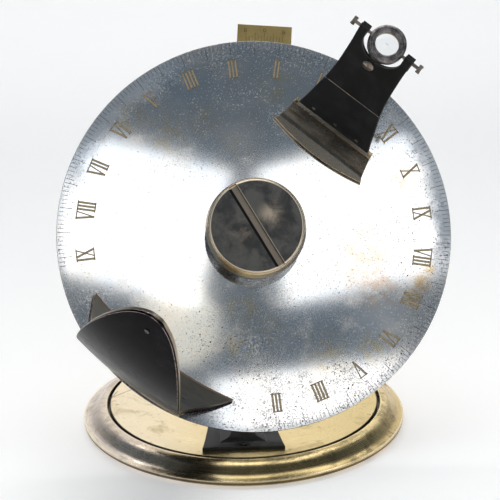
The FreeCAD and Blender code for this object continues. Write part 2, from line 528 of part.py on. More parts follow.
# Hub drum: brass, hollow, with a spigot in the disc and a flared top.
drum = turned("drum", [
    (S + "spindle_rad + " + S + "running_gap", -3.0), (S + "spindle_rad + 4.0", -3.0), (S + "spindle_rad + 4.0", 0),
    (22.2, 0), (22.2, 1.6), (21.4, 2.6), (20.9, 8.0), (21.4, 12.6), (22.6, 15.6), (23.8, 17.8),
    (S + "hub_rad", 19.0), (S + "hub_rad", 20.4), (S + "hub_rad - 0.9", 26.6), (S + "hub_rad - 1.4", S + "hub_top"),
    (S + "cap_rad + 0.15", S + "hub_top"), (S + "cap_rad + 0.15", S + "hub_top - 3.0"),
    (18.0, S + "hub_top - 3.0"), (18.0, 5.0), (S + "spindle_rad + " + S + "running_gap", 5.0)])
drum_o = cut("drum_solid", drum, *[cyl("drum_tap%d" % i, 1.5, 5, (x, y, -1)) for i, (x, y) in enumerate(barrel_pts)])
node("hub_drum", drum_o, DISC)
b_screws = [screw("drum_screw%d" % i, 2.9, 1.4, 1.5, 4.0, (x, y, -1.6), "-z", sink=True, turn=20 * i)
            for i, (x, y) in enumerate(barrel_pts)]
node("hub_drum_screws", group("drum_screw_set", *b_screws), DISC)
# Slotted cap that closes the drum.
cap_t = turned("cap", [
    (0, 20.0), (17.95, 20.0), (17.95, S + "hub_top - 3.0"), (S + "cap_rad", S + "hub_top - 3.0"),
    (S + "cap_rad", S + "hub_top + 0.15"), (S + "cap_rad - 0.35", S + "hub_top + 0.5"), (0, S + "hub_top + 0.5")])
cap_slot = box("cap_slot", 60, S + "slot_width", 5, (-30, "-" + S + "slot_width / 2", 0))
slot_turned = doc.addObject("Part::Compound", "cap_slot_turned")
slot_turned.Links = [cap_slot]
slot_turned.Placement = Placement(Vector(0, 0, val("hub_top") + 0.5 - val("slot_depth")),
                                  Rotation(Vector(0, 0, 1), val("slot_angle")))
node("hub_cap", cut("cap_solid", cap_t, slot_turned), DISC)

# --------------------------------------------------------------- lens sight
# Bracket foot: flange with a bowed edge, cove and short upright.
foot_prof = [(46.0, 0.0), (46.0, 2.0), (54.5, 2.0)]
cove_out = [(54.5, 2.0), (57.2, 3.0), (59.6, 5.4), (61.3, 8.6), (62.5, 12.0)]
cove_in = [(63.7, 11.6), (62.6, 8.0), (60.9, 4.8), (58.6, 1.7), (56.6, 0.0)]


def yz(pts):
    return [Vector(0, a, b) for a, b in pts]


c_out = Part.BSplineCurve()
c_out.interpolate(yz(cove_out))
c_in = Part.BSplineCurve()
c_in.interpolate(yz(cove_in))
slope = (73.5 - 62.5) / (48.0 - 12.0)
y18 = 62.45 + slope * (18.0 - 11.9)
LEAF_OUT = Rotation(Vector(1, 0, 0), -90.0 - math.degrees(math.atan(slope)))  # Z turned to the leaf's back
foot_wire = Part.Wire([
    Part.makeLine(*yz([(46.0, 0.0), (46.0, 2.0)])), Part.makeLine(*yz([(46.0, 2.0), (54.5, 2.0)])), c_out.toShape(),
    Part.makeLine(*yz([(62.5, 12.0), (64.1, 11.6)])), Part.makeLine(*yz([(64.1, 11.6), (64.1 + slope * 12.4, 24.0)])),
    Part.makeLine(*yz([(64.1 + slope * 12.4, 24.0), (65.3 + slope * 12.4, 23.7)])),
    Part.makeLine(*yz([(65.3 + slope * 12.4, 23.7), (65.3, 11.2)])), Part.makeLine(*yz([(65.3, 11.2), (62.6, 4.6)])),
    Part.makeLine(*yz([(62.6, 4.6), (58.6, 0.0)])), Part.makeLine(*yz([(58.6, 0.0), (46.0, 0.0)]))])
foot_ext = Part.Face(foot_wire).extrude(Vector(60, 0, 0))
foot_ext.translate(Vector(-30, 0, 0))
plan = Part.Wire([
    Part.Arc(Vector(27.3, 51.4, -1), Vector(0, 48.2, -1), Vector(-27.3, 51.4, -1)).toShape(),
    Part.makeLine(Vector(-27.3, 51.4, -1), Vector(-25.7, 54.5, -1)), Part.makeLine(Vector(-25.7, 54.5, -1), Vector(-23.6, 62.0, -1)),
    Part.makeLine(Vector(-23.6, 62.0, -1), Vector(-22.4, 72.0, -1)), Part.makeLine(Vector(-22.4, 72.0, -1), Vector(22.4, 72.0, -1)),
    Part.makeLine(Vector(22.4, 72.0, -1), Vector(23.6, 62.0, -1)), Part.makeLine(Vector(23.6, 62.0, -1), Vector(25.7, 54.5, -1)),
    Part.makeLine(Vector(25.7, 54.5, -1), Vector(27.3, 51.4, -1))])
plan_s = Part.Face(plan).extrude(Vector(0, 0, 13.0))
upright_s = Part.makeBox(36.0, 40.0, 14.0, Vector(-18.0, 50.0, 11.0))
foot_f = feature("bracket_foot_raw", foot_ext.common(plan_s.fuse(upright_s)).removeSplitter())
# its bowed front edge is bevelled: a cone about the centre of the bow
bow_r = (27.3 ** 2 + 3.2 ** 2) / 6.4
bevel = Part.Face(Part.makePolygon([Vector(bow_r + 0.08, 0, 0.35), Vector(bow_r - 1.1, 0, 2.0), Vector(bow_r - 1.1, 0, 3.0),
                                    Vector(bow_r + 1.5, 0, 3.0), Vector(bow_r + 1.5, 0, 0.35), Vector(bow_r + 0.08, 0, 0.35)]))
bevel_s = bevel.revolve(Vector(0, 0, 0), Vector(0, 0, 1), 360)
bevel_s.translate(Vector(0, 48.2 + bow_r, 0))
bevel_s = bevel_s.common(Part.makeBox(80, 12, 4, Vector(-40, 44, -0.5)))
foot_f = cut("bracket_foot_bevelled", foot_f, feature("bracket_foot_bevel", bevel_s))
foot_f = cut("bracket_foot_solid", foot_f, *[cyl("bracket_tap%d" % i, 1.0, 2.6, (x, y, -1)) for i, (x, y) in enumerate(bracket_pts)],
             *[place(cyl("bracket_rivet_hole%d" % i, 1.0, 8), (x, y18 - 1.9, 18.58), LEAF_OUT) for i, x in enumerate((-13.0, 0.0, 13.0))])
node("bracket_foot", foot_f, SIGHT)
sight_screws_a = [screw("bracket_screw%d" % i, 1.9, 0.9, 1.0, 3.2, (x, y, -2.05), "-z", sink=True, turn=30 * i)
                  for i, (x, y) in enumerate(bracket_pts)]
node("bracket_foot_screws", group("bracket_screw_set", *sight_screws_a), SIGHT)

# Leaf: waisted sheet with two slight bends, forked round the lens.
lt = val("leaf_thick")
leaf_line = [(62.45 + 0.35 * slope, 12.25), (73.5, 48.0), (92.6, 91.5)]


def sheet_profile(pts, t):
    """Closed outline of a bent sheet: its front line and its back line."""
    normals = []
    for (a, b), (c, d) in zip(pts[:-1], pts[1:]):
        ln = math.hypot(c - a, d - b)
        normals.append(((d - b) / ln, -(c - a) / ln))
    back_line = []
    for i, p in enumerate(pts):
        if i == 0:
            nx, ny = normals[0]
            k = 1.0
        elif i == len(pts) - 1:
            nx, ny = normals[-1]
            k = 1.0
        else:
            nx, ny = normals[i - 1][0] + normals[i][0], normals[i - 1][1] + normals[i][1]
            ln = math.hypot(nx, ny)
            nx, ny = nx / ln, ny / ln
            k = 1.0 / (nx * normals[i][0] + ny * normals[i][1])
        back_line.append((p[0] + t * k * nx, p[1] + t * k * ny))
    return pts + back_line[::-1] + [pts[0]]


leaf_ext = Part.Face(Part.makePolygon(yz(sheet_profile(leaf_line, lt)))).extrude(Vector(60, 0, 0))
leaf_ext.translate(Vector(-30, 0, 0))
half_w = [(11.0, 21.7), (20.0, 20.0), (28.0, 18.8), (38.0, 17.4), (48.0, 16.0), (58.0, 14.95), (68.0, 14.5), (78.0, 14.35), (93.0, 14.6)]
right_c = Part.BSplineCurve()
right_c.interpolate([Vector(w, 0, hgt) for hgt, w in half_w])
left_c = Part.BSplineCurve()
left_c.interpolate([Vector(-w, 0, hgt) for hgt, w in half_w])
front_wire = Part.Wire([right_c.toShape(), Part.makeLine(Vector(14.6, 0, 93.0), Vector(-14.6, 0, 93.0)), left_c.toShape(),
                        Part.makeLine(Vector(-21.7, 0, 11.0), Vector(21.7, 0, 11.0))])
front_s = Part.Face(front_wire).extrude(Vector(0, 120, 0))
leaf_s = leaf_ext.common(front_s)
leaf_lean = math.degrees(math.atan2(92.6 - 73.5, 91.5 - 48.0))
ld, lh = val("lens_dist"), val("lens_height")
y_boss = 73.5 + (73.0 - 48.0) * (92.6 - 73.5) / (91.5 - 48.0)
notch = Part.makeCylinder(10.4, 40, Vector(0, -20, 0), Vector(0, 1, 0))
notch = notch.fuse(Part.makeBox(20.8, 40, 30, Vector(-10.4, -20, 0)))
notch.rotate(Vector(0, 0, 0), Vector(1, 0, 0), -leaf_lean)
notch.translate(Vector(0, ld, lh))
leaf_s = leaf_s.cut(notch).removeSplitter()
leaf_o = feature("leaf_raw", leaf_s)
leaf_o = cut("leaf_solid", leaf_o, *[place(cyl("leaf_rivet_hole%d" % i, 1.0, 8), (x, y18 - 1.9, 18.58), LEAF_OUT) for i, x in enumerate((-13.0, 0.0, 13.0))],
             place(cyl("leaf_boss_hole", 1.2, 12), (-1.6, y_boss + 6 * math.cos(math.radians(leaf_lean)), 73.0 - 6 * math.sin(math.radians(leaf_lean))),
                   Rotation(Vector(1, 0, 0), 90 - leaf_lean)))
node("bracket_leaf", leaf_o, SIGHT)
rivets = [place(fuse("bracket_rivet%d" % i, cyl("bracket_rivet_body%d" % i, 1.0, 3.2, (0, 0, 0.0)),
                     cyl("bracket_rivet_tail%d" % i, 1.8, 0.7, (0, 0, 3.0))), (x, y18, 18.0), LEAF_OUT)
          for i, x in enumerate((-13.0, 0.0, 13.0))]
node("bracket_rivets", group("bracket_rivet_set", *rivets), SIGHT)

# Round-headed screw on the leaf, under the fork.
boss_head = common("boss_head", cyl("boss_rim", 2.9, 4, (0, 0, 0)), place(doc.addObject("Part::Sphere", "boss_ball"), (0, 0, -1.6)))
doc.getObject("boss_ball").Radius = 3.8
boss_slot = box("boss_slot", 8, 0.7, 3, (-4, -0.35, 1.5))
boss = fuse("leaf_boss_solid", cut("boss_slotted", boss_head, boss_slot), cyl("boss_shank", 1.2, 3.2, (0, 0, -3.2)))
boss.Placement = Placement(Vector(-1.6, y_boss, 73.0), Rotation(Vector(1, 0, 0), 90 - leaf_lean))
node("leaf_boss_screw", boss, SIGHT)

# Blocks on the fork's tips, drilled for the pivot screws.
def tip_block(name, sgn):
    b = box(name + "_raw", 4.3, 6.4, 3.4, (10.35 if sgn > 0 else -14.65, ld - 4.1, lh - 1.7))
    bore = cyl(name + "_bore", 0.85, 10, (8 if sgn > 0 else -18, ld, lh), "x")
    return cut(name, b, bore)


leaf_clear = leaf_o
blocks = [tip_block("fork_block_left", -1), tip_block("fork_block_right", 1)]
trim_box = Part.makeBox(60, 30, 60, Vector(-30, -30, -30))
trim_box.rotate(Vector(0, 0, 0), Vector(1, 0, 0), -leaf_lean)
trim_box.translate(Vector(0, 92.6 + lt * math.cos(math.radians(leaf_lean)), 91.5 - lt * math.sin(math.radians(leaf_lean))))
trim = feature("block_trim", trim_box)
block_nodes = []
for bname, b in zip(("fork_block_left", "fork_block_right"), blocks):
    block_nodes.append(node(bname, cut(bname + "_fit", b, trim), SIGHT))
blocks[0].Label = "fork_block_left_drilled"
blocks[1].Label = "fork_block_right_drilled"
block_nodes[0].Label = "fork_block_left"
block_nodes[1].Label = "fork_block_right"

# Lens ring, face-on at rest, with a turned groove and two pivot dimples.
rr, rt = val("ring_rad"), val("ring_thick") / 2
ring = turned("ring", [
    (6.5, -rt), (rr - 0.9, -rt), (rr - 0.25, -rt + 0.35), (rr, -rt + 1.2), (rr, rt - 1.2), (rr - 0.25, rt - 0.35),
    (rr - 0.9, rt), (rr - 1.5, rt), (rr - 1.8, rt - 0.5), (rr - 2.4, rt - 0.5), (rr - 2.6, rt), (5.85, rt), (5.45, rt - 0.4),
    (5.45, 1.15), (6.5, 1.15)])
ring_o = cut("ring_solid", ring,
             cyl("ring_dimple_a", 0.85, 1.4, (7.9, 0, 0), "x"), cyl("ring_dimple_b", 0.85, 1.4, (-9.3, 0, 0), "x"))
RING = SIGHT.multiply(Placement(Vector(0, ld, lh), Rotation()))
node("lens_ring", ring_o, RING)
# a weak lens: its focus lies on the screen, 192 from it
lens_a = place(doc.addObject("Part::Sphere", "lens_ball_a"), (0, 0, -200.0 + 1.1))
lens_b = place(doc.addObject("Part::Sphere", "lens_ball_b"), (0, 0, 200.0 - 1.1))
lens_a.Radius = 200.0
lens_b.Radius = 200.0
node("lens_glass", common("lens_solid", lens_a, lens_b, cyl("lens_edge", 6.45, 6, (0, 0, -3))), RING)
ret = turned("retainer", [(5.5, -rt + 0.1), (6.5, -rt + 0.1), (6.5, -1.15), (6.2, -1.15), (5.5, -1.6)])
node("lens_retaining_ring", ret, RING)


def thumb_screw(name, sgn):
    rod = cyl(name + "_rod", 0.78, 9.4, (sgn * 8.6, 0, 0), "x" if sgn > 0 else "-x")
    tip = cone(name + "_tip", 0.70, 0.25, 0.5, (sgn * 8.6, 0, 0), "-x" if sgn > 0 else "x")
    bar = box(name + "_bar", 1.7, 3.9, 1.5, ((17.6 if sgn > 0 else -19.3), -1.95, -0.75))
    knobs = [cyl(name + "_end%d" % i, 1.05, 0.8, (sgn * 18.45, y, 0), "y") for i, y in enumerate((-1.95 - 0.0, 1.15))]
    return fuse(name + "_solid", rod, tip, bar, *knobs)


node("pivot_screw_left", thumb_screw("pivot_screw_left_raw", -1), RING)
node("pivot_screw_right", thumb_screw("pivot_screw_right_raw", 1), RING)

# ------------------------------------------------------------ curved screen
# Spherical sheet about the lens: every sun height is in focus on it.
R = val("screen_rad")


def outline_face(grow, h0):
    """Screen outline seen along the noon line: splayed foot, long rounded top."""
    low = [(42.9 - h0 * 3.8 / 10.8, h0), (39.1, 10.8), (34.4, 25.0), (30.5, 39.0), (28.6, 50.0), (27.9, 62.0), (27.9, lh)]
    top_h, top_w = 93.2, 27.9
    edges = []
    for sgn in (1, -1):
        a = Part.BSplineCurve()
        a.interpolate([Vector(sgn * (w + grow), 0, q) for w, q in low])
        pts = []
        for k in range(10):
            t = math.radians(10.0 * k)
            pts.append(Vector(sgn * (top_w + grow) * math.cos(t), 0, lh + (top_h + grow) * math.sin(t)))
        b = Part.BSplineCurve()
        b.interpolate(Points=pts, InitialTangent=Vector(0, 0, 1), FinalTangent=Vector(-sgn, 0, 0))
        edges += [a.toShape(), b.toShape()]
    edges.append(Part.makeLine(Vector(-low[0][0] - grow, 0, h0), Vector(low[0][0] + grow, 0, h0)))
    return Part.Face(Part.Wire(Part.__sortEdges__(edges)))


def shell_part(r_out, t, grow, h0):
    centre = Vector(0, ld, lh)
    solid = Part.makeSphere(r_out, centre).cut(Part.makeSphere(r_out - t, centre))
    prism = outline_face(grow, h0).extrude(Vector(0, 60, 0))
    prism.translate(Vector(0, -120, 0))
    return solid.common(prism)


shell = feature("screen_shell_raw", shell_part(R, val("shell_thick"), 0.0, 0.0))
liner = feature("screen_liner_raw", shell_part(R - val("shell_thick"), val("liner_thick"), -0.35, 0.4))
s_holes = []
s_rivets = []
for i, (rx, rh) in enumerate(((-24.0, 30.0), (24.0, 30.0), (-20.0, 53.0), (20.0, 53.0), (0.0, 168.0))):
    horiz = math.sqrt(R * R - rx * rx - (rh - lh) ** 2)
    point = Vector(rx, ld - horiz, rh)
    d_out = Vector(rx, -horiz, rh - lh)
    d_out.normalize()
    hole = Part.makeCylinder(0.9, 8.0, point - d_out * 5.0, d_out)
    s_holes.append(hole)
    riv = Part.makeCylinder(0.9, 2.5, point - d_out * 2.35, d_out)
    head = Part.makeCylinder(1.15, 0.3, point + d_out * 0.004, d_out)
    s_rivets.append(riv.fuse(head))
holes_o = feature("screen_rivet_bores", Part.makeCompound(s_holes))
holes_p = feature("liner_rivet_bores", Part.makeCompound(s_holes))
node("screen_shell", cut("screen_shell_solid", shell, holes_o), SIGHT)
node("screen_liner", cut("screen_liner_solid", liner, holes_p), SIGHT)
node("screen_rivets", group("screen_rivet_set", feature("screen_rivet_solids", Part.makeCompound(s_rivets))), SIGHT)

# Curved foot that carries the screen on the disc, on its outer side.
centre = Vector(0, ld, lh)
heel = Part.makeBox(38.0, 16.0, 8.0, Vector(-19.0, -91.0, 0.0))
heel = heel.common(Part.makeCylinder(R - 80.5 + 75.0, 40, Vector(0, ld, -1)))
heel = heel.cut(Part.makeSphere(R + 0.02, centre))
lower = Part.makeBox(60, 40, 12, Vector(-30, -120, 2.2))
keep = Part.makeSphere(R + 1.6, centre)
heel = heel.cut(lower.cut(keep))
foot_o = feature("screen_foot_raw", heel)
foot_o = cut("screen_foot_solid", foot_o, *[cyl("screen_foot_tap%d" % i, 1.0, 2.6, (x, y, -1)) for i, (x, y) in enumerate(screen_pts)])
node("screen_foot", foot_o, SIGHT)
sight_screws_b = [screw("screen_screw%d" % i, 1.9, 0.9, 1.0, 3.2, (x, y, -2.05), "-z", sink=True, turn=50 * i)
                  for i, (x, y) in enumerate(screen_pts)]
node("screen_foot_screws", group("screen_screw_set", *sight_screws_b), SIGHT)

# -------------------------------------------------------------------- write
doc.recompute()
bad = [o.Name for o in doc.Objects if any(k in o.State for k in ("Invalid", "Error"))]
if bad:
    raise SystemExit("failed objects: " + ", ".join(bad))
for o in nodes:
    if o.Shape.isNull() or not o.Shape.isValid():
        raise SystemExit("bad shape: " + o.Label)
    if not o.Shape.Solids:
        raise SystemExit("no solid: " + o.Label)
labels = [o.Label for o in nodes]
if len(set(labels)) != len(labels):
    raise SystemExit("a name is used twice: " + str(sorted(labels)))
os.makedirs("parts", exist_ok=True)
for o in nodes:
    o.Shape.exportStep("parts/%s.step" % o.Label)
print(len(nodes), "pieces")
for o in nodes:
    b = o.Shape.BoundBox
    print("%-24s solids %d vol %9.1f  x %7.1f %7.1f  y %7.1f %7.1f  z %7.1f %7.1f" % (
        o.Label, len(o.Shape.Solids), o.Shape.Volume, b.XMin, b.XMax, b.YMin, b.YMax, b.ZMin, b.ZMax))
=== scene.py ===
import bpy
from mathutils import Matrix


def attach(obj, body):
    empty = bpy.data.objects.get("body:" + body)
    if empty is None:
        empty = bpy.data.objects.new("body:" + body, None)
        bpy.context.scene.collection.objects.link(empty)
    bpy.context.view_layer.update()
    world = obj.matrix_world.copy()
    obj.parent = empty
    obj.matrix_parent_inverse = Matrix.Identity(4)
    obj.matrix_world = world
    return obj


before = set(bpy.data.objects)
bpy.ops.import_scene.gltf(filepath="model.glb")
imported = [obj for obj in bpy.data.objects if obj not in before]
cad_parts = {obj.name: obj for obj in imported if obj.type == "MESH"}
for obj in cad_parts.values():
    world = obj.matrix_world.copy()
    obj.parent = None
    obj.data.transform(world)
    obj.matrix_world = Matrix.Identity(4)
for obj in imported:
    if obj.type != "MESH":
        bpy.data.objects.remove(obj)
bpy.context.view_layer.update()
import bpy, bmesh, math, random
from mathutils import Vector, Matrix

random.seed(7)
MM = 0.001
scene = bpy.context.scene

# ------------------------------------------------------------------- frames
TILT = math.radians(26.5)
AXX = Vector((1, 0, 0))
UP = Vector((0, math.sin(TILT), math.cos(TILT)))
NRM = Vector((0, -math.cos(TILT), math.sin(TILT)))
CEN = Vector((6.3, 20.2 - 34.0 * math.cos(TILT), 88.0 + 34.0 * math.sin(TILT))) * MM


def frame_matrix(x, y, z, o):
    m = Matrix.Identity(4)
    for i in range(3):
        m[i][0], m[i][1], m[i][2], m[i][3] = x[i], y[i], z[i], o[i]
    return m


DISC = frame_matrix(AXX, UP, NRM, CEN)
SIGHT = DISC @ Matrix.Rotation(math.radians(50.54 - 90), 4, "Z") @ Matrix.Translation((-0.8 * MM, 0, 0))
VERN = DISC @ Matrix.Rotation(math.radians(-4.8), 4, "Z")
RING = SIGHT @ Matrix.Translation((0, 94.1 * MM, 84.0 * MM))
WORLD = Matrix.Identity(4)
RD = 97.5


# ---------------------------------------------------------------- materials
class Mat:
    """Small helper round one material's node tree."""

    def __init__(self, name):
        self.m = bpy.data.materials.new(name)
        self.m.use_nodes = True
        self.t = self.m.node_tree
        self.t.nodes.clear()
        self.out = self.t.nodes.new("ShaderNodeOutputMaterial")
        self.b = self.t.nodes.new("ShaderNodeBsdfPrincipled")
        self.t.links.new(self.b.outputs[0], self.out.inputs[0])
        self.co = self.t.nodes.new("ShaderNodeTexCoord").outputs["Object"]

    def link(self, a, b):
        self.t.links.new(a, b)

    def put(self, sock, v):
        if isinstance(v, bpy.types.NodeSocket):
            self.link(v, sock)
        else:
            sock.default_value = v

    def math(self, op, a, b=0.0, c=0.0, clamp=False):
        n = self.t.nodes.new("ShaderNodeMath")
        n.operation, n.use_clamp = op, clamp
        for s, v in zip(n.inputs, (a, b, c)):
            self.put(s, v)
        return n.outputs[0]

    def vmath(self, op, a, b=(0, 0, 0)):
        n = self.t.nodes.new("ShaderNodeVectorMath")
        n.operation = op
        self.put(n.inputs[0], a)
        self.put(n.inputs[1], b)
        return n.outputs["Value"] if op in ("DOT_PRODUCT", "LENGTH", "DISTANCE") else n.outputs[0]

    def combine(self, x, y, z):
        n = self.t.nodes.new("ShaderNodeCombineXYZ")
        for s, v in zip(n.inputs, (x, y, z)):
            self.put(s, v)
        return n.outputs[0]

    def local(self, m):
        """Coordinates in millimetres in the frame m."""
        d = self.vmath("SUBTRACT", self.co, tuple(m.translation))
        c = [self.math("MULTIPLY", self.vmath("DOT_PRODUCT", d, tuple(m.col[i][:3])), 1000.0) for i in range(3)]
        return c[0], c[1], c[2]

    def noise(self, scale, detail=3.0, rough=0.55, vec=None, dist=0.0):
        n = self.t.nodes.new("ShaderNodeTexNoise")
        self.put(n.inputs["Vector"], vec if vec is not None else self.co)
        n.inputs["Scale"].default_value = scale
        n.inputs["Detail"].default_value = detail
        n.inputs["Roughness"].default_value = rough
        n.inputs["Distortion"].default_value = dist
        return n.outputs["Fac"]

    def cells(self, scale, vec=None, feature="F1", rand=1.0):
        n = self.t.nodes.new("ShaderNodeTexVoronoi")
        n.feature = feature
        self.put(n.inputs["Vector"], vec if vec is not None else self.co)
        n.inputs["Scale"].default_value = scale
        n.inputs["Randomness"].default_value = rand
        return n.outputs["Distance"]

    def step(self, v, a, b):
        """0 below a, 1 above b (or the other way round if a > b)."""
        n = self.t.nodes.new("ShaderNodeMapRange")
        n.interpolation_type = "SMOOTHSTEP"
        flip = a > b
        self.put(n.inputs["Value"], v)
        n.inputs["From Min"].default_value = b if flip else a
        n.inputs["From Max"].default_value = a if flip else b
        n.inputs["To Min"].default_value = 1.0 if flip else 0.0
        n.inputs["To Max"].default_value = 0.0 if flip else 1.0
        return n.outputs[0]

    def mix(self, f, a, b):
        n = self.t.nodes.new("ShaderNodeMix")
        n.data_type = "RGBA"
        n.clamp_factor = True
        self.put(n.inputs["Factor"], f)
        for s, v in ((n.inputs[6], a), (n.inputs[7], b)):
            self.put(s, tuple(v) + (1.0,) if isinstance(v, (tuple, list)) and len(v) == 3 else v)
        return n.outputs[2]

    def fmix(self, f, a, b):
        n = self.t.nodes.new("ShaderNodeMix")
        n.data_type = "FLOAT"
        n.clamp_factor = True
        self.put(n.inputs["Factor"], f)
        self.put(n.inputs[2], a)
        self.put(n.inputs[3], b)
        return n.outputs[0]

    def bump(self, height, strength, dist=0.0001, normal=None):
        n = self.t.nodes.new("ShaderNodeBump")
        n.inputs["Strength"].default_value = strength
        n.inputs["Distance"].default_value = dist
        self.put(n.inputs["Height"], height)
        if normal is not None:
            self.link(normal, n.inputs["Normal"])
        return n.outputs[0]

    def bevel(self, radius):
        n = self.t.nodes.new("ShaderNodeBevel")
        n.samples = 4
        n.inputs["Radius"].default_value = radius
        return n.outputs[0]

    def edges(self, radius):
        """1 along sharp edges of the solid, 0 on its faces."""
        g = self.t.nodes.new("ShaderNodeNewGeometry").outputs["Normal"]
        return self.step(self.vmath("DOT_PRODUCT", self.bevel(radius), g), 0.985, 0.90)

    def set(self, **kw):
        names = {"color": "Base Color", "metallic": "Metallic", "rough": "Roughness", "normal": "Normal", "ior": "IOR",
                 "coat": "Coat Weight", "coat_rough": "Coat Roughness", "spec": "Specular IOR Level", "sheen": "Sheen Weight",
                 "trans": "Transmission Weight", "aniso": "Anisotropic", "aniso_rot": "Anisotropic Rotation", "tangent": "Tangent"}
        for k, v in kw.items():
            s = self.b.inputs[names[k]]
            if isinstance(v, (tuple, list)) and len(v) == 3 and k == "color":
                v = tuple(v) + (1.0,)
            self.put(s, v)
        return self


def polar(m, frame_m):
    x, y, z = m.local(frame_m)
    r = m.math("SQRT", m.math("ADD", m.math("MULTIPLY", x, x), m.math("MULTIPLY", y, y)))
    a = m.math("ARCTAN2", y, x)
    return x, y, z, r, a


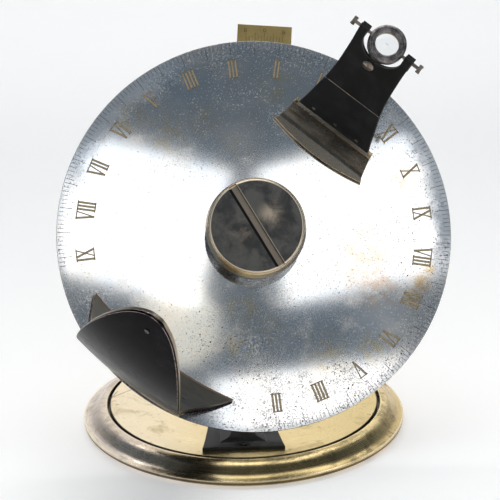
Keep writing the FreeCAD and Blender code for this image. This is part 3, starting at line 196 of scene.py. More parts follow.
def silver_dial():
    m = Mat("silvered_dial")
    x, y, z, r, a = polar(m, DISC)
    flat = m.combine(x, y, 0.0)

    def blob(cx, cy, rad, soft):
        d = m.vmath("DISTANCE", flat, (cx, cy, 0.0))
        return m.step(d, rad + soft, max(rad - soft, 0.0))

    def most(*v):
        out = v[0]
        for q in v[1:]:
            out = m.math("MAXIMUM", out, q)
        return out

    # ring-wise polishing marks
    rings = m.noise(1.0, 4, 0.65, m.combine(m.math("MULTIPLY", r, 2.6), m.math("MULTIPLY", a, 1.3), 0.0))
    fine = m.noise(1.0, 3, 0.7, m.combine(m.math("MULTIPLY", r, 9.0), m.math("MULTIPLY", a, 2.4), 3.0))
    cloud = m.noise(22.0, 5, 0.6, dist=0.3)
    cloud2 = m.noise(70.0, 5, 0.65)
    blot = m.noise(170.0, 5, 0.7)
    # steel-blue silver with greyer and browner drifts
    silver = m.mix(m.step(cloud, 0.38, 0.62), (0.61, 0.64, 0.67), (0.72, 0.70, 0.68))
    silver = m.mix(m.math("MULTIPLY", m.step(cloud2, 0.46, 0.70), 0.55), silver, (0.78, 0.74, 0.68))
    silver = m.mix(m.math("MULTIPLY", m.step(blot, 0.52, 0.70), 0.30), silver, (0.54, 0.56, 0.58))
    # thin silvering: peach right of the hub, olive below it, a gold stain by the rim
    peach = m.math("MULTIPLY", most(blob(54, -14, 14, 16), blob(74, 26, 6, 8), blob(60, -28, 8, 10)), m.step(blot, 0.40, 0.60))
    silver = m.mix(m.math("MULTIPLY", peach, 0.75), silver, (0.60, 0.45, 0.33))
    olive = m.math("MULTIPLY", most(blob(-6, -37, 7, 7), blob(-10, -55, 6, 6), blob(6, -47, 4, 5), blob(-24, 58, 6, 6), blob(14, 74, 6, 7),
                                      blob(-42, 50, 7, 8), blob(-60, 60, 6, 6), blob(-8, 44, 5, 6), blob(34, -60, 8, 8), blob(56, -58, 6, 7)),
                   m.step(m.noise(210.0, 4, 0.6), 0.44, 0.60))
    silver = m.mix(m.math("MULTIPLY", olive, 0.65), silver, (0.74, 0.62, 0.40))
    stain = m.math("MULTIPLY", most(blob(82, -27, 3.5, 3.5), blob(77, -33, 3, 3), blob(86, -20, 2, 2.5)),
                   m.step(m.noise(260.0, 4, 0.6), 0.36, 0.52))
    silver = m.mix(m.math("MULTIPLY", stain, 0.85), silver, (0.60, 0.39, 0.13))
    # how thickly the face is spotted: hardly at the left, most at the rim and the lower right
    drift = m.step(m.noise(34.0, 3, 0.6, dist=0.4), 0.42, 0.64)
    rimmy = m.step(r, 76.0, 96.0)
    dens = m.math("ADD", m.math("MULTIPLY", drift, 0.5), m.math("MULTIPLY", rimmy, 0.6), clamp=True)
    dens = m.math("ADD", dens, m.math("MULTIPLY", most(blob(45, -35, 45, 30), blob(-10, -60, 30, 20)), 0.35), clamp=True)
    dens = m.math("MULTIPLY", dens, m.math("MULTIPLY_ADD", blob(-62, 2, 34, 22), -0.85, 1.0))
    # dense fine grain that breaks the reflections up
    grain = m.noise(1150.0, 2, 0.7)
    grainy = m.step(m.math("ADD", grain, m.math("MULTIPLY_ADD", dens, 0.11, -0.650)), 0.0, 0.035)
    # round specks and small pits
    spot1 = m.cells(520.0)
    size1 = m.math("MULTIPLY_ADD", m.noise(900.0, 1, 0.5), 0.46, -0.08)
    specks = m.step(m.math("SUBTRACT", m.math("MULTIPLY", size1, m.math("ADD", dens, 0.30)), spot1), 0.0, 0.04)
    spot2 = m.cells(1300.0)
    specks2 = m.step(m.math("SUBTRACT", m.math("MULTIPLY", 0.24, dens), spot2), 0.0, 0.07)
    # clusters of black curled pits
    clusters = most(blob(-19, 86, 3.0, 2.5), blob(-3, 87, 2.2, 1.8), blob(14, 59, 4.5, 3), blob(60, 37, 3.5, 3), blob(80, 37, 3.5, 3),
                    blob(9, -76, 6, 4), blob(21, -75, 5, 4), blob(39, -69, 6, 3), blob(4, -93, 6, 2.5), blob(-11, -83, 4, 2.5),
                    blob(-79, -30, 6, 4), blob(-3, -55, 3.5, 3), blob(30, -80, 4, 3))
    curl = m.noise(520.0, 3, 0.65, dist=1.6)
    pits = m.math("MULTIPLY", m.step(m.math("ABSOLUTE", m.math("SUBTRACT", curl, 0.60)), 0.030, 0.014), clusters)
    dark = most(specks, m.math("MULTIPLY", specks2, 0.8), pits)
    color = m.mix(m.math("MULTIPLY", dark, 0.88), silver, (0.050, 0.045, 0.042))
    # greyed band inside the rim, upper left and right; brass on the edge
    band = m.math("MULTIPLY", m.step(m.math("ADD", r, m.math("MULTIPLY", m.math("SUBTRACT", cloud2, 0.5), 14.0)), 84.5, 95.5),
                  most(blob(-66, 64, 42, 26), blob(88, 22, 44, 26)))
    band = m.math("MAXIMUM", band, m.math("MULTIPLY", m.step(r, 92.5, 97.3), 0.45))
    color = m.mix(m.math("MULTIPLY", band, 0.75), color, (0.40, 0.44, 0.49))
    color = m.mix(m.step(r, 97.25, 97.42), color, (0.62, 0.50, 0.34))
    color = m.mix(m.step(z, -0.05, -0.4), color, m.mix(m.noise(260.0, 4), (0.30, 0.22, 0.12), (0.62, 0.47, 0.24)))
    rough = m.fmix(rings, 0.045, 0.080)
    rough = m.math("ADD", rough, m.math("MULTIPLY", dark, 0.4))
    rough = m.math("ADD", rough, m.math("MULTIPLY", m.step(cloud2, 0.5, 0.8), 0.04))
    height = m.math("ADD", m.math("MULTIPLY", fine, 0.12), m.math("MULTIPLY", dark, -1.2))
    nor = m.bump(height, 0.06, 0.00003)
    n3 = tuple(NRM)
    rad = m.vmath("SUBTRACT", m.co, tuple(CEN))
    tang = m.vmath("NORMALIZE", m.vmath("CROSS_PRODUCT", rad, n3))
    m.set(color=color, metallic=1.0, rough=rough, normal=nor, tangent=tang)
    m.b.inputs["Anisotropic"].default_value = 0.3
    # a dull layer shows through the polish: in the grain, the drifts and the band
    haze = m.t.nodes.new("ShaderNodeBsdfPrincipled")
    m.link(color, haze.inputs["Base Color"])
    m.link(nor, haze.inputs["Normal"])
    m.link(tang, haze.inputs["Tangent"])
    haze.inputs["Metallic"].default_value = 1.0
    haze.inputs["Roughness"].default_value = 0.42
    haze.inputs["Anisotropic"].default_value = 0.3
    mx = m.t.nodes.new("ShaderNodeMixShader")
    dull = m.math("MULTIPLY_ADD", m.step(cloud2, 0.40, 0.75), 0.05, 0.01)
    dull = m.math("ADD", dull, m.math("MULTIPLY", grainy, 0.70))
    dull = m.math("ADD", dull, m.math("MULTIPLY", most(blob(62, -44, 8, 18), m.math("MULTIPLY", blob(-7, 46, 5, 12), 0.5)), 0.42))
    dull = m.math("ADD", dull, m.math("MULTIPLY", band, 0.80), clamp=True)
    m.link(dull, mx.inputs[0])
    m.link(m.b.outputs[0], mx.inputs[1])
    m.link(haze.outputs[0], mx.inputs[2])
    m.link(mx.outputs[0], m.out.inputs[0])
    return m.m


def brass(name, base, dark, spots=0.4, rough=(0.22, 0.38), scratch=1.0, frame_m=WORLD, turned=True, edge=None, bev=0.00025):
    m = Mat(name)
    x, y, z, r, a = polar(m, frame_m)
    cloud = m.noise(60.0, 5, 0.6)
    blot = m.noise(210.0, 4, 0.65, dist=0.6)
    color = m.mix(m.step(cloud, 0.34, 0.68), base, tuple(0.78 * c for c in base))
    color = m.mix(m.math("MULTIPLY", m.step(blot, 0.56, 0.72), spots), color, dark)
    pits = m.step(m.cells(700.0), 0.13, 0.05)
    pits = m.math("MULTIPLY", pits, m.step(m.noise(120.0, 2), 0.5, 0.62))
    color = m.mix(m.math("MULTIPLY", pits, 0.8), color, tuple(0.25 * c for c in dark))
    if turned:
        lines = m.noise(1.0, 4, 0.7, m.combine(m.math("MULTIPLY", r, 5.0), m.math("MULTIPLY", a, 1.5), m.math("MULTIPLY", z, 5.0)))
    else:
        lines = m.noise(1.0, 4, 0.7, m.combine(m.math("MULTIPLY", x, 0.5), m.math("MULTIPLY", y, 8.0), m.math("MULTIPLY", z, 8.0)))
    scr = m.noise(1.0, 2, 0.5, m.combine(m.math("MULTIPLY", x, 0.35), m.math("MULTIPLY", y, 6.5), z), dist=1.2)
    scr = m.math("MULTIPLY", m.step(m.math("ABSOLUTE", m.math("SUBTRACT", scr, 0.5)), 0.006, 0.0), m.step(cloud, 0.45, 0.6))
    if edge is not None:
        color = edge(m, color, x, y, z, r, a)
    color = m.mix(m.math("MULTIPLY", scr, 0.3 * scratch), color, tuple(min(1.0, 1.25 * c) for c in base))
    ro = m.math("ADD", m.fmix(m.step(lines, 0.3, 0.7), *rough), m.math("MULTIPLY", m.step(blot, 0.5, 0.75), 0.12))
    h = m.math("ADD", m.math("MULTIPLY", lines, 0.4), m.math("MULTIPLY", scr, -0.8))
    h = m.math("ADD", h, m.math("MULTIPLY", pits, -1.0))
    m.set(color=color, metallic=1.0, rough=ro, normal=m.bump(h, 0.12, 0.00008, m.bevel(bev)))
    return m.m


def black(name, base=(0.012, 0.012, 0.013), rough=(0.22, 0.4), wear_and_highlight=(0.35, 0.26, 0.16), mask=None, metallic=0.0,
          frame_m=WORLD, bump=0.10, bev=0.0003, coat=0.3, spec=0.5, rim=None, edge_highlight_width=0.0004, edge_highlight_part=0.8, mottle=2.4, tint=None):
    m = Mat(name)
    x, y, z = m.local(frame_m)
    cloud = m.noise(90.0, 5, 0.62)
    fine = m.noise(900.0, 4, 0.6)
    color = m.mix(m.step(cloud, 0.4, 0.68), base, tuple(mottle * c + 0.002 * mottle for c in base))
    scr = m.noise(1.0, 2, 0.5, m.combine(m.math("MULTIPLY", x, 0.45), m.math("MULTIPLY", y, 5.0), m.math("MULTIPLY", z, 1.1)), dist=1.5)
    scr = m.math("MULTIPLY", m.step(m.math("ABSOLUTE", m.math("SUBTRACT", scr, 0.5)), 0.004, 0.0), m.step(cloud, 0.48, 0.62))
    color = m.mix(m.math("MULTIPLY", scr, 0.25), color, (0.16, 0.15, 0.14))
    ro = m.fmix(m.step(cloud, 0.3, 0.7), *rough)
    metal = metallic
    if mask is not None:
        # the mask marks worn places and painted highlights alike
        w = mask(m, x, y, z)
        w = m.step(m.math("ADD", w, m.math("MULTIPLY", m.math("SUBTRACT", m.noise(700.0, 4), 0.5), 0.9)), 0.45, 0.62)
        color = m.mix(w, color, m.mix(fine, wear_and_highlight, tuple(0.55 * c for c in wear_and_highlight)))
        metal = m.fmix(w, metallic, 1.0)
        ro = m.fmix(w, ro, 0.34)
    # rim colour: painted highlight along the sharp edges, broken up by noise
    if rim is not None:
        e = m.math("MULTIPLY", m.math("MULTIPLY", m.edges(edge_highlight_width), m.step(m.noise(260.0, 3), 0.30, 0.50)), edge_highlight_part)
        color = m.mix(e, color, rim)
        metal = m.fmix(e, metal, 1.0)
    h = m.math("ADD", m.math("MULTIPLY", fine, 0.5), m.math("MULTIPLY", cloud, 1.0))
    m.set(color=color, metallic=metal, rough=ro, coat=coat, coat_rough=0.12, spec=spec, normal=m.bump(h, bump, 0.00015, m.bevel(bev)))
    if tint is not None:
        m.b.inputs["Specular Tint"].default_value = (tint, tint, tint, 1.0)
    return m.m


def steel(name, base, dark, rough=(0.25, 0.42)):
    m = Mat(name)
    cloud = m.noise(350.0, 4, 0.6)
    color = m.mix(m.step(cloud, 0.35, 0.7), base, dark)
    lines = m.noise(1800.0, 3, 0.6)
    m.set(color=color, metallic=1.0, rough=m.fmix(lines, *rough), normal=m.bump(lines, 0.08, 0.00004, m.bevel(0.00012)))
    return m.m


def cloth(name, base):
    m = Mat(name)
    f = m.noise(2600.0, 5, 0.7)
    m.set(color=m.mix(f, base, tuple(0.45 * c for c in base)), rough=0.95, sheen=0.3, spec=0.2, normal=m.bump(f, 0.5, 0.0003))
    return m.m


def glass():
    m = Mat("lens_crown_glass")
    d = m.noise(900.0, 3, 0.6)
    m.set(color=m.mix(d, (0.97, 0.98, 0.985), (0.90, 0.93, 0.93)), rough=m.fmix(m.step(d, 0.6, 0.8), 0.012, 0.05), ior=1.52, trans=1.0)
    return m.m


def base_edge(m, color, x, y, z, r, a):
    """Painted highlight on the shoulder, painted shade in the hollow, on the side and in the gap by the turntable, a
    worn lip with a painted highlight; the outer band greyer at the left and warmer at the right as painted reflection.
    """
    blotch = m.step(m.noise(95.0, 4, 0.65, dist=0.5), 0.46, 0.64)
    # outer band lighter and greyer at the left, browner at the front, warmer at the right: painted reflection
    outer_painted_reflection = m.mix(m.step(x, -66.0, 0.0), (0.86, 0.74, 0.66), (0.48, 0.37, 0.16))
    outer_painted_reflection = m.mix(m.step(x, 10.0, 66.0), outer_painted_reflection, (0.84, 0.62, 0.28))
    color = m.mix(m.math("MULTIPLY", m.step(r, 70.2, 71.0), 0.85), color, outer_painted_reflection)
    # painted highlight on the shoulder
    shoulder_highlight = m.math("MULTIPLY", m.step(r, 70.3, 70.7), m.step(r, 75.0, 73.2))
    color = m.mix(m.math("MULTIPLY", shoulder_highlight, 0.65), color, m.mix(m.step(x, -62.0, 0.0), (0.80, 0.66, 0.50), (1.0, 0.80, 0.42)))
    # painted shade in the hollow of the moulding, deepest at the front
    hollow_shade = m.math("MULTIPLY", m.step(m.math("ABSOLUTE", m.math("SUBTRACT", z, 6.7)), 2.4, 0.7), m.step(r, 73.4, 75.2))
    front = m.step(m.math("ABSOLUTE", m.math("SUBTRACT", x, 5.0)), 66.0, 30.0)
    color = m.mix(m.math("MULTIPLY", hollow_shade, m.fmix(front, 0.22, 0.74)), color, (0.14, 0.095, 0.045))
    patchy = m.math("MULTIPLY", m.math("MULTIPLY", m.step(r, 70.4, 71.4), blotch), m.fmix(m.step(x, -20.0, 50.0), 0.35, 0.65))
    color = m.mix(patchy, color, (0.17, 0.12, 0.06))
    # worn lip with a painted highlight along it
    lip_wear_and_highlight = m.math("MULTIPLY", m.step(m.math("ABSOLUTE", m.math("SUBTRACT", r, 81.9)), 0.55, 0.15), m.step(z, 3.1, 3.7))
    color = m.mix(m.math("MULTIPLY", lip_wear_and_highlight, 0.85), color, (1.0, 0.86, 0.58))
    # painted shade on the outer side below the lip
    side_shade = m.math("MULTIPLY", m.step(r, 81.9, 82.2), m.step(z, 3.5, 2.8))
    color = m.mix(m.math("MULTIPLY", side_shade, 0.85), color, (0.060, 0.042, 0.030))
    # painted shade in the gap between the base and the turntable
    groove_shade = m.math("MULTIPLY", m.step(r, 68.3, 68.7), m.step(r, 70.5, 70.2))
    return m.mix(m.math("MULTIPLY", groove_shade, 0.92), color, (0.020, 0.016, 0.012))


def stroke(m, x, y, p, q, w):
    """A scratch between two points, w wide."""
    ln = math.hypot(q[0] - p[0], q[1] - p[1])
    ux, uy = (q[0] - p[0]) / ln, (q[1] - p[1]) / ln
    dx, dy = m.math("SUBTRACT", x, (p[0] + q[0]) / 2), m.math("SUBTRACT", y, (p[1] + q[1]) / 2)
    along = m.math("ABSOLUTE", m.math("ADD", m.math("MULTIPLY", dx, ux), m.math("MULTIPLY", dy, uy)))
    across = m.math("ABSOLUTE", m.math("SUBTRACT", m.math("MULTIPLY", dy, ux), m.math("MULTIPLY", dx, uy)))
    return m.math("MULTIPLY", m.step(along, ln / 2, ln / 2 - 0.6), m.step(across, w / 2 + 0.12, max(w / 2 - 0.12, 0.0)))


def table_edge(m, color, x, y, z, r, a):
    """Yellower to the front, darker right; two crossed scratches left and one at the right."""
    color = m.mix(0.80, color, m.mix(m.step(x, -60.0, 0.0), (0.93, 0.79, 0.58), (0.96, 0.74, 0.36)))
    color = m.mix(m.math("MULTIPLY", m.step(x, 10.0, 60.0), 0.85), color, (0.76, 0.59, 0.28))
    tarn = m.step(m.noise(42.0, 5, 0.7, dist=0.8), 0.55, 0.68)
    color = m.mix(m.math("MULTIPLY", tarn, 0.62), color, (0.50, 0.37, 0.16))
    stains = m.step(m.noise(230.0, 4, 0.7), 0.60, 0.70)
    color = m.mix(m.math("MULTIPLY", stains, 0.55), color, (0.26, 0.18, 0.09))
    marks = m.math("MAXIMUM", stroke(m, x, y, (-67.6, 7.1), (-57.3, 16.6), 0.5), stroke(m, x, y, (-68.4, 5.6), (-65.2, 14.6), 0.45))
    marks = m.math("MAXIMUM", marks, stroke(m, x, y, (64.0, -22.4), (66.5, -27.4), 0.6))
    color = m.mix(m.math("MULTIPLY", marks, 0.8), color, (0.16, 0.10, 0.05))
    # painted shade along the turntable's edge, in the gap by the base
    return m.mix(m.math("MULTIPLY", m.step(r, 68.2, 68.7), 0.9), color, (0.03, 0.022, 0.016))


def hub_edge(m, color, x, y, z, r, a):
    """Golden lip with painted highlights, brightest at the lower left, pinker at the upper left; the drum under it
    painted dark and dull grey as shade.
    """
    low = m.math("MULTIPLY", m.math("ADD", x, y), -1.0 / 34.5)
    high = m.math("MULTIPLY", m.math("SUBTRACT", y, x), 1.0 / 34.5)
    # painted highlights on the lip: brightest at the lower left and at both sides, pinker at the upper left
    lip = m.mix(m.step(low, 0.35, 0.95), (0.74, 0.58, 0.40), (1.0, 0.76, 0.38))
    lip = m.mix(m.math("MULTIPLY", m.step(m.math("ABSOLUTE", x), 14.0, 21.0), 0.8), lip, (1.0, 0.88, 0.72))
    lip = m.mix(m.math("MULTIPLY", m.step(high, 0.5, 0.95), 0.5), lip, (0.80, 0.58, 0.46))
    color = m.mix(0.80, color, lip)
    # painted shade on the drum under the lip, speckled dark and grey
    drum_shade = m.mix(m.step(m.noise(1150.0, 2, 0.7), 0.44, 0.58), (0.13, 0.145, 0.165), (0.42, 0.43, 0.45))
    # painted highlight on the drum's right side
    drum_shade = m.mix(m.math("MULTIPLY", m.step(x, 8.0, 20.0), 0.7), drum_shade, (0.85, 0.86, 0.87))
    return m.mix(m.math("MULTIPLY", m.step(z, 20.2, 19.7), 0.96), color, drum_shade)


def leaf_bend_wear_and_highlight(m, x, y, z):
    """Worn bends with a painted highlight along them, the lower one brighter to the right."""
    bend = m.math("MULTIPLY", m.step(z, 15.4, 14.4), m.fmix(m.step(x, -18.0, 18.0), 0.66, 1.1))
    bend2 = m.math("MULTIPLY", m.step(m.math("ABSOLUTE", m.math("SUBTRACT", z, 48.0)), 0.55, 0.15), 0.66)
    return m.math("MAXIMUM", bend, bend2)


def foot_edge_wear_and_highlight(m, x, y, z):
    """Worn arrises with painted highlights: the two arrises of the bevelled, bowed front and the foot's ends, and a
    painted highlight along the top of the cove.
    """
    bow = m.math("MULTIPLY_ADD", m.math("MULTIPLY", x, x), 3.2 / 745.0, 48.2)
    d = m.math("SUBTRACT", y, bow)
    lip = m.math("MULTIPLY", m.step(d, 0.40, 0.05), 0.95)
    arris = m.math("MULTIPLY", m.step(m.math("ABSOLUTE", m.math("SUBTRACT", d, 1.1)), 0.32, 0.06), m.fmix(m.step(x, -26.0, 20.0), 0.90, 0.68))
    ends = m.math("MULTIPLY", m.step(m.math("ABSOLUTE", x), 26.7, 27.1), 0.72)
    # painted highlight along the top of the cove, brighter to the right
    top = m.math("MULTIPLY", m.step(z, 11.0, 11.7), m.fmix(m.step(x, -18.0, 18.0), 0.50, 0.75))
    return m.math("MAXIMUM", m.math("MAXIMUM", lip, top), m.math("MAXIMUM", arris, ends))


def shell_wear(m, x, y, z):
    low = m.step(z, 1.3, 0.4)
    return m.math("MULTIPLY", low, 0.75)


silvered = silver_dial()
brass_base = brass("base_brass", (0.80, 0.66, 0.40), (0.34, 0.26, 0.16), 0.40, (0.20, 0.34), edge=base_edge)
brass_table = brass("turntable_brass", (0.95, 0.80, 0.48), (0.52, 0.42, 0.24), 0.35, (0.24, 0.40), edge=table_edge)
brass_hub = brass("hub_brass", (0.80, 0.60, 0.32), (0.16, 0.11, 0.06), 0.25, (0.22, 0.36), frame_m=DISC, edge=hub_edge)
brass_vern = brass("vernier_brass", (0.54, 0.40, 0.16), (0.22, 0.16, 0.07), 0.35, (0.28, 0.42), frame_m=VERN, turned=False)
brass_small = brass("small_brass", (0.66, 0.50, 0.27), (0.20, 0.14, 0.08), 0.35, (0.25, 0.4), frame_m=DISC, turned=False, bev=0.00012)
# the rim colours below are painted highlights along sharp edges
iron = black("japanned_iron", (0.011, 0.011, 0.010), (0.30, 0.48), bump=0.16, coat=0.0, spec=0.22, rim=(0.30, 0.26, 0.20), edge_highlight_part=0.35)
lacquer = black("black_lacquer", (0.009, 0.009, 0.009), (0.30, 0.46), frame_m=SIGHT, coat=0.05, spec=0.30)
leaf_black = black("leaf_black", (0.006, 0.006, 0.006), (0.46, 0.62), wear_and_highlight=(0.62, 0.58, 0.52), mask=leaf_bend_wear_and_highlight, frame_m=SIGHT, coat=0.0, spec=0.20,
                   rim=(0.36, 0.32, 0.27), edge_highlight_width=0.00035, edge_highlight_part=0.40)
foot_black = black("foot_black", (0.135, 0.118, 0.096), (0.20, 0.32), wear_and_highlight=(0.80, 0.62, 0.38), mask=foot_edge_wear_and_highlight, frame_m=SIGHT, coat=0.15, metallic=0.8, mottle=1.25,
                   rim=(0.72, 0.56, 0.36), edge_highlight_width=0.00035, edge_highlight_part=0.7)
shell_black = black("shell_black", (0.011, 0.010, 0.0112), (0.20, 0.28), wear_and_highlight=(0.60, 0.40, 0.30), mask=shell_wear, frame_m=SIGHT, coat=0.0, bump=0.04,
                    metallic=1.0, mottle=1.2, tint=0.56,
                    rim=(0.66, 0.54, 0.49), edge_highlight_width=0.0005, edge_highlight_part=0.85)
rivet_black = black("rivet_black", (0.020, 0.018, 0.016), (0.22, 0.34), frame_m=SIGHT, coat=0.0, spec=0.35, bev=0.0001)
steel_brown = steel("browned_steel", (0.34, 0.29, 0.24), (0.13, 0.10, 0.08))
steel_grey = steel("grey_steel", (0.50, 0.49, 0.47), (0.28, 0.26, 0.24))
ring_steel = steel("ring_steel", (0.34, 0.31, 0.30), (0.11, 0.10, 0.095), (0.20, 0.36))
felt = cloth("base_felt", (0.05, 0.075, 0.05))
leather = cloth("washer_leather", (0.10, 0.055, 0.03))
lens_glass = glass()


def cap_bronze():
    m = Mat("cap_bronze")
    x, y, z, r, a = polar(m, DISC)
    cloud = m.noise(110.0, 5, 0.62, dist=0.3)
    spots = m.noise(520.0, 4, 0.7)
    color = m.mix(m.step(cloud, 0.36, 0.66), (0.062, 0.061, 0.060), (0.145, 0.138, 0.126))
    # painted highlight: a blurred tan patch at the upper right of the cap
    tan_highlight = m.math("MULTIPLY", m.step(m.vmath("DISTANCE", m.combine(x, y, 0.0), (7.4, 5.4, 0.0)), 8.5, 0.0), m.step(cloud, 0.28, 0.62))
    color = m.mix(m.math("MULTIPLY", tan_highlight, 0.9), color, (0.66, 0.54, 0.40))
    tan2 = m.math("MULTIPLY", m.step(m.vmath("DISTANCE", m.combine(x, y, 0.0), (-7.3, -3.0, 0.0)), 9.0, 1.0), m.step(m.noise(300.0, 4, 0.6), 0.38, 0.62))
    color = m.mix(m.math("MULTIPLY", tan2, 0.6), color, (0.30, 0.235, 0.18))
    color = m.mix(m.math("MULTIPLY", m.step(spots, 0.6, 0.75), 0.35), color, (0.30, 0.27, 0.23))
    s = math.radians(-60.4)
    signed = m.math("ADD", m.math("MULTIPLY", x, -math.sin(s)), m.math("MULTIPLY", y, math.cos(s)))
    across = m.math("ABSOLUTE", signed)
    # painted highlight along the slot's upper-right edge
    lip = m.math("MULTIPLY", m.step(m.math("ABSOLUTE", m.math("SUBTRACT", signed, 2.25)), 0.32, 0.06), m.step(z, 27.5, 28.2))
    color = m.mix(m.math("MULTIPLY", lip, 0.70), color, (0.66, 0.56, 0.42))
    # slot floor taupe, with a painted shadow band along its lower-left side
    floor = m.math("MULTIPLY", m.step(z, 27.4, 26.9), m.step(across, 2.15, 2.0))
    color = m.mix(m.math("MULTIPLY", floor, 0.85), color, m.mix(m.step(signed, -0.65, -1.05), (0.34, 0.28, 0.22), (0.012, 0.011, 0.010)))
    # painted shadow along the slot's lower-left wall
    color = m.mix(m.math("MULTIPLY", m.step(signed, -0.80, -1.10), m.step(signed, -2.65, -2.25)), color, (0.012, 0.011, 0.010))
    # painted highlight round the cap's edge
    edge = m.step(r, 21.75, 22.0)
    color = m.mix(m.math("MULTIPLY", edge, 0.92), color, (1.0, 0.84, 0.64))
    h = m.math("ADD", cloud, m.math("MULTIPLY", spots, 0.5))
    m.set(color=color, metallic=0.85, rough=m.fmix(spots, 0.30, 0.46), normal=m.bump(h, 0.09, 0.00010, m.bevel(0.0002)))
    return m.m


def liner_silver():
    m = Mat("liner_silver")
    x, y, z = m.local(SIGHT)
    cloud = m.noise(60.0, 5, 0.65)
    color = m.mix(m.step(cloud, 0.35, 0.7), (0.42, 0.34, 0.25), (0.25, 0.20, 0.15))
    # lighter at the left: painted reflection
    color = m.mix(m.step(x, -20.0, -27.0), color, m.mix(cloud, (0.80, 0.68, 0.52), (0.60, 0.50, 0.38)))
    edge = m.step(z, 2.9, 1.9)
    color = m.mix(edge, color, (0.78, 0.46, 0.28))
    fine = m.noise(900.0, 4, 0.6)
    m.set(color=color, metallic=1.0, rough=m.fmix(cloud, 0.24, 0.36), normal=m.bump(fine, 0.08, 0.0001))
    return m.m


cap_metal = cap_bronze()
liner_metal = liner_silver()

MATERIALS = {
    "base_plate": brass_base, "base_pad": felt, "turntable_plate": brass_table,
    "azimuth_stud": steel_grey, "azimuth_spring_washer": steel_grey, "azimuth_lock_nut": brass_small,
    "pedestal_slab": iron, "pedestal_column": iron, "pedestal_screws": steel_brown, "slab_screws": iron,
    "latitude_quadrant": silvered, "quadrant_screws": steel_brown, "pivot_bolt": steel_grey,
    "pivot_friction_washer": leather, "pivot_flat_washer": steel_grey, "clamp_wing_nut": brass_small,
    "bearing_arm": iron, "latitude_index": lacquer, "index_pin": steel_grey, "polar_spindle": steel_grey,
    "thrust_washer": brass_small, "friction_spring": brass_small, "spindle_nut": steel_grey,
    "vernier_clamp_screws": steel_brown, "vernier_arm": lacquer, "vernier_plate": brass_vern, "vernier_plate_screws": brass_small,
    "hour_disc": silvered, "hub_drum": brass_hub, "hub_drum_screws": brass_small, "hub_cap": cap_metal,
    "bracket_foot": foot_black, "bracket_foot_screws": brass_small, "bracket_leaf": leaf_black, "bracket_rivets": steel_brown,
    "leaf_boss_screw": steel_brown, "fork_block_left": lacquer, "fork_block_right": lacquer,
    "lens_ring": ring_steel, "lens_glass": lens_glass, "lens_retaining_ring": brass_small,
    "pivot_screw_left": steel_brown, "pivot_screw_right": steel_brown,
    "screen_shell": shell_black, "screen_liner": liner_metal, "screen_rivets": rivet_black, "screen_foot": lacquer,
    "screen_foot_screws": brass_small,
}
for name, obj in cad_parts.items():
    obj.data.materials.clear()
    obj.data.materials.append(MATERIALS[name])


# ------------------------------------------------------- engraved markings
def thin_fill(name, color, dark, rough=0.35, metallic=1.0):
    m = Mat(name)
    n = m.noise(800.0, 4, 0.6)
    m.set(color=m.mix(n, color, dark), metallic=metallic, rough=m.fmix(n, rough, rough + 0.2))
    return m.m


fill_brass = thin_fill("numeral_fill", (0.80, 0.64, 0.40), (0.34, 0.25, 0.15), 0.34)
fill_line = thin_fill("numeral_outline", (0.23, 0.18, 0.125), (0.11, 0.088, 0.065), 0.5, 0.5)
fill_dark = thin_fill("tick_fill", (0.10, 0.095, 0.09), (0.05, 0.045, 0.04), 0.45, 0.4)
fill_vern = thin_fill("vernier_fill", (0.10, 0.075, 0.04), (0.05, 0.04, 0.025), 0.5, 0.3)


def plates(name, polys, m, z, body, material, thick=0.03):
    """Flat pieces (millimetre outlines in frame m) raised by `thick` over z."""
    mesh = bpy.data.meshes.new(name)
    verts, faces = [], []
    for p in polys:
        k = len(verts)
        n = len(p)
        for x, y in p:
            verts.append(m @ Vector((x * MM, y * MM, (z + thick) * MM)))
        for x, y in p:
            verts.append(m @ Vector((x * MM, y * MM, z * MM)))
        faces.append(tuple(range(k, k + n)))
        faces.append(tuple(range(k + 2 * n - 1, k + n - 1, -1)))
        for i in range(n):
            j = (i + 1) % n
            faces.append((k + i, k + n + i, k + n + j, k + j))
    mesh.from_pydata([tuple(v) for v in verts], [], faces)
    mesh.update()
    bm = bmesh.new()
    bm.from_mesh(mesh)
    bmesh.ops.recalc_face_normals(bm, faces=bm.faces)
    bm.to_mesh(mesh)
    bm.free()
    o = bpy.data.objects.new(name, mesh)
    scene.collection.objects.link(o)
    mesh.materials.append(material)
    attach(o, body)
    return o


def bar(x0, y0, x1, y1, w):
    """A stroke of width w between two points."""
    dx, dy = x1 - x0, y1 - y0
    ln = math.hypot(dx, dy)
    nx, ny = -dy / ln * w / 2, dx / ln * w / 2
    return [(x0 + nx, y0 + ny), (x0 - nx, y0 - ny), (x1 - nx, y1 - ny), (x1 + nx, y1 + ny)]


def swell(p, g):
    """A four-cornered stroke made wider and longer by g."""
    (ax, ay), (bx, by), _, (dx, dy) = p
    lu, lw = math.hypot(bx - ax, by - ay), math.hypot(dx - ax, dy - ay)
    ux, uy, wx, wy = (bx - ax) / lu * g / 2, (by - ay) / lu * g / 2, (dx - ax) / lw * g / 2, (dy - ay) / lw * g / 2
    sx = (-1, 1, 1, -1)
    sw = (-1, -1, 1, 1)
    return [(q[0] + sx[i] * ux + sw[i] * wx, q[1] + sx[i] * uy + sw[i] * wy) for i, q in enumerate(p)]


THICK, THIN, SERIF = 0.82, 0.35, 0.32


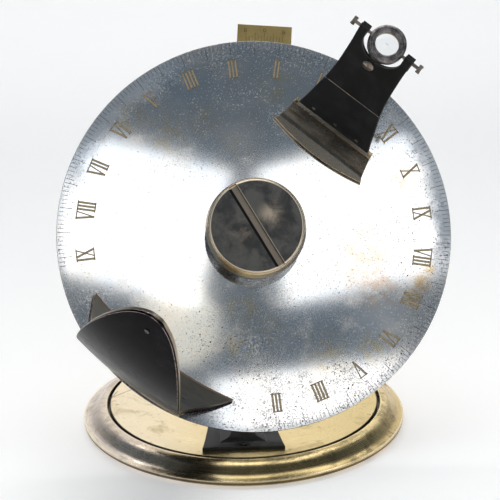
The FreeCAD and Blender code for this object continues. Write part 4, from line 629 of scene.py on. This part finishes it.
def roman(text, height):
    """Outlines of a Roman numeral, centred on x, standing on y = 0."""
    widths = {"I": 1.7, "V": 4.4, "X": 4.6}
    total = sum(widths[c] for c in text)
    x = -total / 2
    out = []
    runs = []
    for c in text:
        w = widths[c]
        if c == "I":
            out.append(bar(x + w / 2, 0, x + w / 2, height, THICK))
            runs.append((x + 0.1, x + w - 0.1, x + 0.1, x + w - 0.1))
        elif c == "V":
            out.append(bar(x + 0.55, height, x + w / 2 + 0.1, 0.1, THICK))
            out.append(bar(x + w - 0.5, height, x + w / 2 + 0.1, 0.1, THIN))
            runs.append((None, None, x + 0.05, x + w - 0.05))
        else:
            out.append(bar(x + 0.55, height, x + w - 0.55, 0, THICK))
            out.append(bar(x + w - 0.55, height, x + 0.55, 0, THIN))
            runs.append((x + 0.05, x + w - 0.05, x + 0.05, x + w - 0.05))
        x += w
    for b0, b1, t0, t1 in runs:
        if b0 is not None:
            out.append(bar(b0, SERIF / 2, b1, SERIF / 2, SERIF))
        out.append(bar(t0, height - SERIF / 2, t1, height - SERIF / 2, SERIF))
    return out


def turn(polys, ang, radius):
    """Moves outlines so that their base sits at a radius, tops outward."""
    a = math.radians(ang)
    ux, uy = math.cos(a), math.sin(a)
    res = []
    for p in polys:
        res.append([(ux * (radius + y) + uy * x, uy * (radius + y) - ux * x) for x, y in p])
    return res


hours = ["XII", "I", "II", "III", "IIII", "V", "VI", "VII", "VIII", "IX", "X", "XI"]
num_polys = []
for i in range(24):
    # noon lies towards the lens; the hours run on anticlockwise and the night hours are left off
    if i not in (10, 11, 12, 13, 14):
        num_polys += turn(roman(hours[i % 12], 9.0), 50.54 + 15.0 * i, 79.3)
plates("hour_numerals", num_polys, DISC, 0.0, "hour_circle", fill_brass, 0.03)
plates("hour_outlines", [swell(p, 0.26) for p in num_polys], DISC, 0.0, "hour_circle", fill_line, 0.015)
ticks = []
for i in range(288):
    ang = 50.54 + 1.25 * i
    if 189.0 < ang % 360.0 < 275.0:
        continue
    if i % 6 == 0:
        ticks.append((ang, 0.928 * RD, 0.995 * RD, 0.25))
    else:
        ticks.append((ang, 0.962 * RD, 0.995 * RD, 0.20))
tick_polys = []
for ang, r0, r1, w in ticks:
    a = math.radians(ang)
    tick_polys.append(bar(r0 * math.cos(a), r0 * math.sin(a), r1 * math.cos(a), r1 * math.sin(a), w))
plates("hour_scale", tick_polys, DISC, 0.0, "hour_circle", fill_dark, 0.03)

# vernier: a fine row of lines and three marks over it
v = []
for i in range(-6, 7):
    a = math.radians(90 + 0.875 * i)
    r1 = 102.6 if i % 3 == 0 else 101.2
    v.append(bar(98.0 * math.cos(a), 98.0 * math.sin(a), r1 * math.cos(a), r1 * math.sin(a), 0.16))


def ring_mark(cx, cy, r, w, n=14):
    return [bar(cx + r * math.cos(2 * math.pi * k / n), cy + r * math.sin(2 * math.pi * k / n),
                cx + r * math.cos(2 * math.pi * (k + 1) / n), cy + r * math.sin(2 * math.pi * (k + 1) / n), w) for k in range(n)]


for ang, rr in ((5.3, 104.0), (0.0, 104.0), (-5.3, 104.0)):
    a = math.radians(90 + ang)
    cx, cy = rr * math.cos(a), rr * math.sin(a)
    if ang:
        v += [bar(cx - 0.55, cy - 0.8, cx - 0.55, cy + 0.8, 0.2), bar(cx - 0.55, cy + 0.75, cx + 0.5, cy + 0.75, 0.2),
              bar(cx - 0.55, cy, cx + 0.5, cy, 0.2), bar(cx + 0.5, cy + 0.05, cx + 0.5, cy - 0.8, 0.2), bar(cx - 0.5, cy - 0.8, cx + 0.5, cy - 0.8, 0.2)]
    else:
        v += ring_mark(cx, cy, 0.75, 0.2)
plates("vernier_marks", v, VERN, -3.45, "vernier", fill_vern, 0.025)

# latitude scale on the quadrant's face
qx = 2.0 + 1.6
PIV = Vector((0, 20.2, 88.0)) * MM
QUAD = frame_matrix(Vector((0, 1, 0)), Vector((0, 0, 1)), Vector((1, 0, 0)), Vector((qx * MM, 20.2 * MM, 88.0 * MM)))
q = []
for i in range(0, 71):
    a = math.radians(-82.0 + i)
    r0 = 33.0 if i % 10 == 0 else (34.2 if i % 5 == 0 else 35.0)
    q.append(bar(r0 * math.cos(a), r0 * math.sin(a), 36.6 * math.cos(a), 36.6 * math.sin(a), 0.14))
SEG = {"0": "abcdef", "1": "bc", "2": "abged", "3": "abgcd", "4": "fgbc", "5": "afgcd", "6": "afgedc", "7": "abc", "8": "abcdefg", "9": "abfgcd"}
PTS = {"a": (0, 2, 1, 2), "b": (1, 2, 1, 1), "c": (1, 1, 1, 0), "d": (0, 0, 1, 0), "e": (0, 0, 0, 1), "f": (0, 1, 0, 2), "g": (0, 1, 1, 1)}


def digits(text, size):
    out, x = [], -0.75 * size * len(text)
    for c in text:
        for s in SEG[c]:
            x0, y0, x1, y1 = PTS[s]
            out.append(bar(x + x0 * size, y0 * size, x + x1 * size, y1 * size, 0.16 * size + 0.08))
        x += 1.5 * size
    return out


for i in range(1, 7):
    q += turn(digits(str(10 * i), 0.85), -82.0 + 10 * i, 29.4)
plates("latitude_scale", q, QUAD, 0.0, "turntable", fill_dark, 0.025)


# ----------------------------------------------------------------- the set
def lit(name, color, strength, rough=0.9):
    """Pale paper, lit through from below towards the front like a light table."""
    m = Mat(name)
    n = m.noise(3.0, 2)
    m.set(color=m.mix(n, color, tuple(0.99 * c for c in color)), rough=rough, spec=0.2)
    x, y, z = m.local(WORLD)
    m.put(m.b.inputs["Emission Color"], (1.0, 0.985, 0.965, 1.0))
    m.put(m.b.inputs["Emission Strength"], m.math("MULTIPLY", m.step(y, 600.0, -200.0), strength))
    return m.m


floor_mat = lit("pale_floor", (0.875, 0.865, 0.855), 0.42)
prof = [(-2.2, 0.0), (0.9, 0.0), (1.15, 0.03), (1.36, 0.12), (1.5, 0.28), (1.56, 0.5), (1.58, 2.6)]
verts, faces = [], []
for y, z in prof:
    verts += [(-3.2, y, z), (3.2, y, z)]
for i in range(len(prof) - 1):
    faces.append((2 * i, 2 * i + 1, 2 * i + 3, 2 * i + 2))
fm = bpy.data.meshes.new("pale_sweep")
fm.from_pydata(verts, [], faces)
fm.update()
floor = bpy.data.objects.new("pale_sweep", fm)
scene.collection.objects.link(floor)
fm.materials.append(floor_mat)
for p in fm.polygons:
    p.use_smooth = True


def softbox(name, at, target, sx, sy, power, color=(1, 1, 1), shape="RECTANGLE"):
    d = bpy.data.lights.new(name, "AREA")
    d.shape, d.size, d.size_y = shape, sx, sy
    d.energy, d.color = power, color
    o = bpy.data.objects.new(name, d)
    scene.collection.objects.link(o)
    o.visible_camera = False
    o.location = at
    o.rotation_mode = "QUATERNION"
    o.rotation_quaternion = (Vector(at) - Vector(target)).to_track_quat("Z", "Y")
    return o


def around(az, el, dist, centre=CEN):
    a, e = math.radians(az), math.radians(el)
    return centre + Vector((math.sin(a) * math.cos(e), -math.cos(a) * math.cos(e), math.sin(e))) * dist


CARDS = [
    # name, centre, direction of the long side, long side, short side, watts, colour, shape
    ("left_card", (-0.3173, -1.6251, 1.3126), (0.9601, -0.1221, -0.2516), 0.724, 0.235, 1.00, (1, 1, 1), "RECTANGLE"),
    ("right_card", (0.5133, -1.6087, 1.2743), (0.9812, 0.1403, 0.1325), 0.823, 0.237, 1.15, (1, 1, 1), "RECTANGLE"),
    ("bottom_card", (0.2003, -1.8246, 0.9805), (0.9941, 0.0911, 0.0593), 0.362, 0.149, 0.30, (1, 0.985, 0.97), "RECTANGLE"),
    ("warm_card", (-0.0393, -1.7504, 1.1075), (0.9987, 0.0194, -0.0465), 0.138, 0.138, 0.045, (1, 0.90, 0.72), "DISK"),
]
for name, at, xdir, sx, sy, power, color, shape in CARDS:
    z = (Vector(at) - CEN).normalized()
    x = (Vector(xdir) - z * Vector(xdir).dot(z)).normalized()
    o = softbox(name, at, CEN, sx, sy, power, color, shape)
    o.rotation_mode = "XYZ"
    o.matrix_world = frame_matrix(x, z.cross(x), z, at)
softbox("top_box", (0.0, 0.35, 1.5), (0, 0.05, 0), 1.6, 1.2, 12.5)
softbox("back_wall", (0.0, 0.75, 1.3), (0.0, 1.58, 0.45), 2.2, 0.5, 11.5)

w = bpy.data.worlds.new("soft_room")
scene.world = w
w.use_nodes = True
w.node_tree.nodes["Background"].inputs[0].default_value = (0.65, 0.80, 0.95, 1.0)
w.node_tree.nodes["Background"].inputs[1].default_value = 0.205

# ------------------------------------------------------------------ camera
cd = bpy.data.cameras.new("view_camera")
cam = bpy.data.objects.new("view_camera", cd)
scene.collection.objects.link(cam)
az, el, roll = math.radians(-2.39), math.radians(19.29), math.radians(-0.82)
back = Vector((math.sin(az) * math.cos(el), -math.cos(az) * math.cos(el), math.sin(el)))
right = Vector((math.cos(az), math.sin(az), 0))
up = back.cross(right)
r2 = math.cos(roll) * right + math.sin(roll) * up
u2 = -math.sin(roll) * right + math.cos(roll) * up
cam.matrix_world = frame_matrix(r2, u2, back, (back * 900.0 + right * 4.41 + up * 86.14) * MM)
cd.sensor_fit = "HORIZONTAL"
cd.sensor_width = 36.0
cd.lens = 1735.2 * 36.0 / 500.0
cd.clip_start, cd.clip_end = 0.05, 20.0
scene.camera = cam
scene.view_settings.view_transform = "Standard"
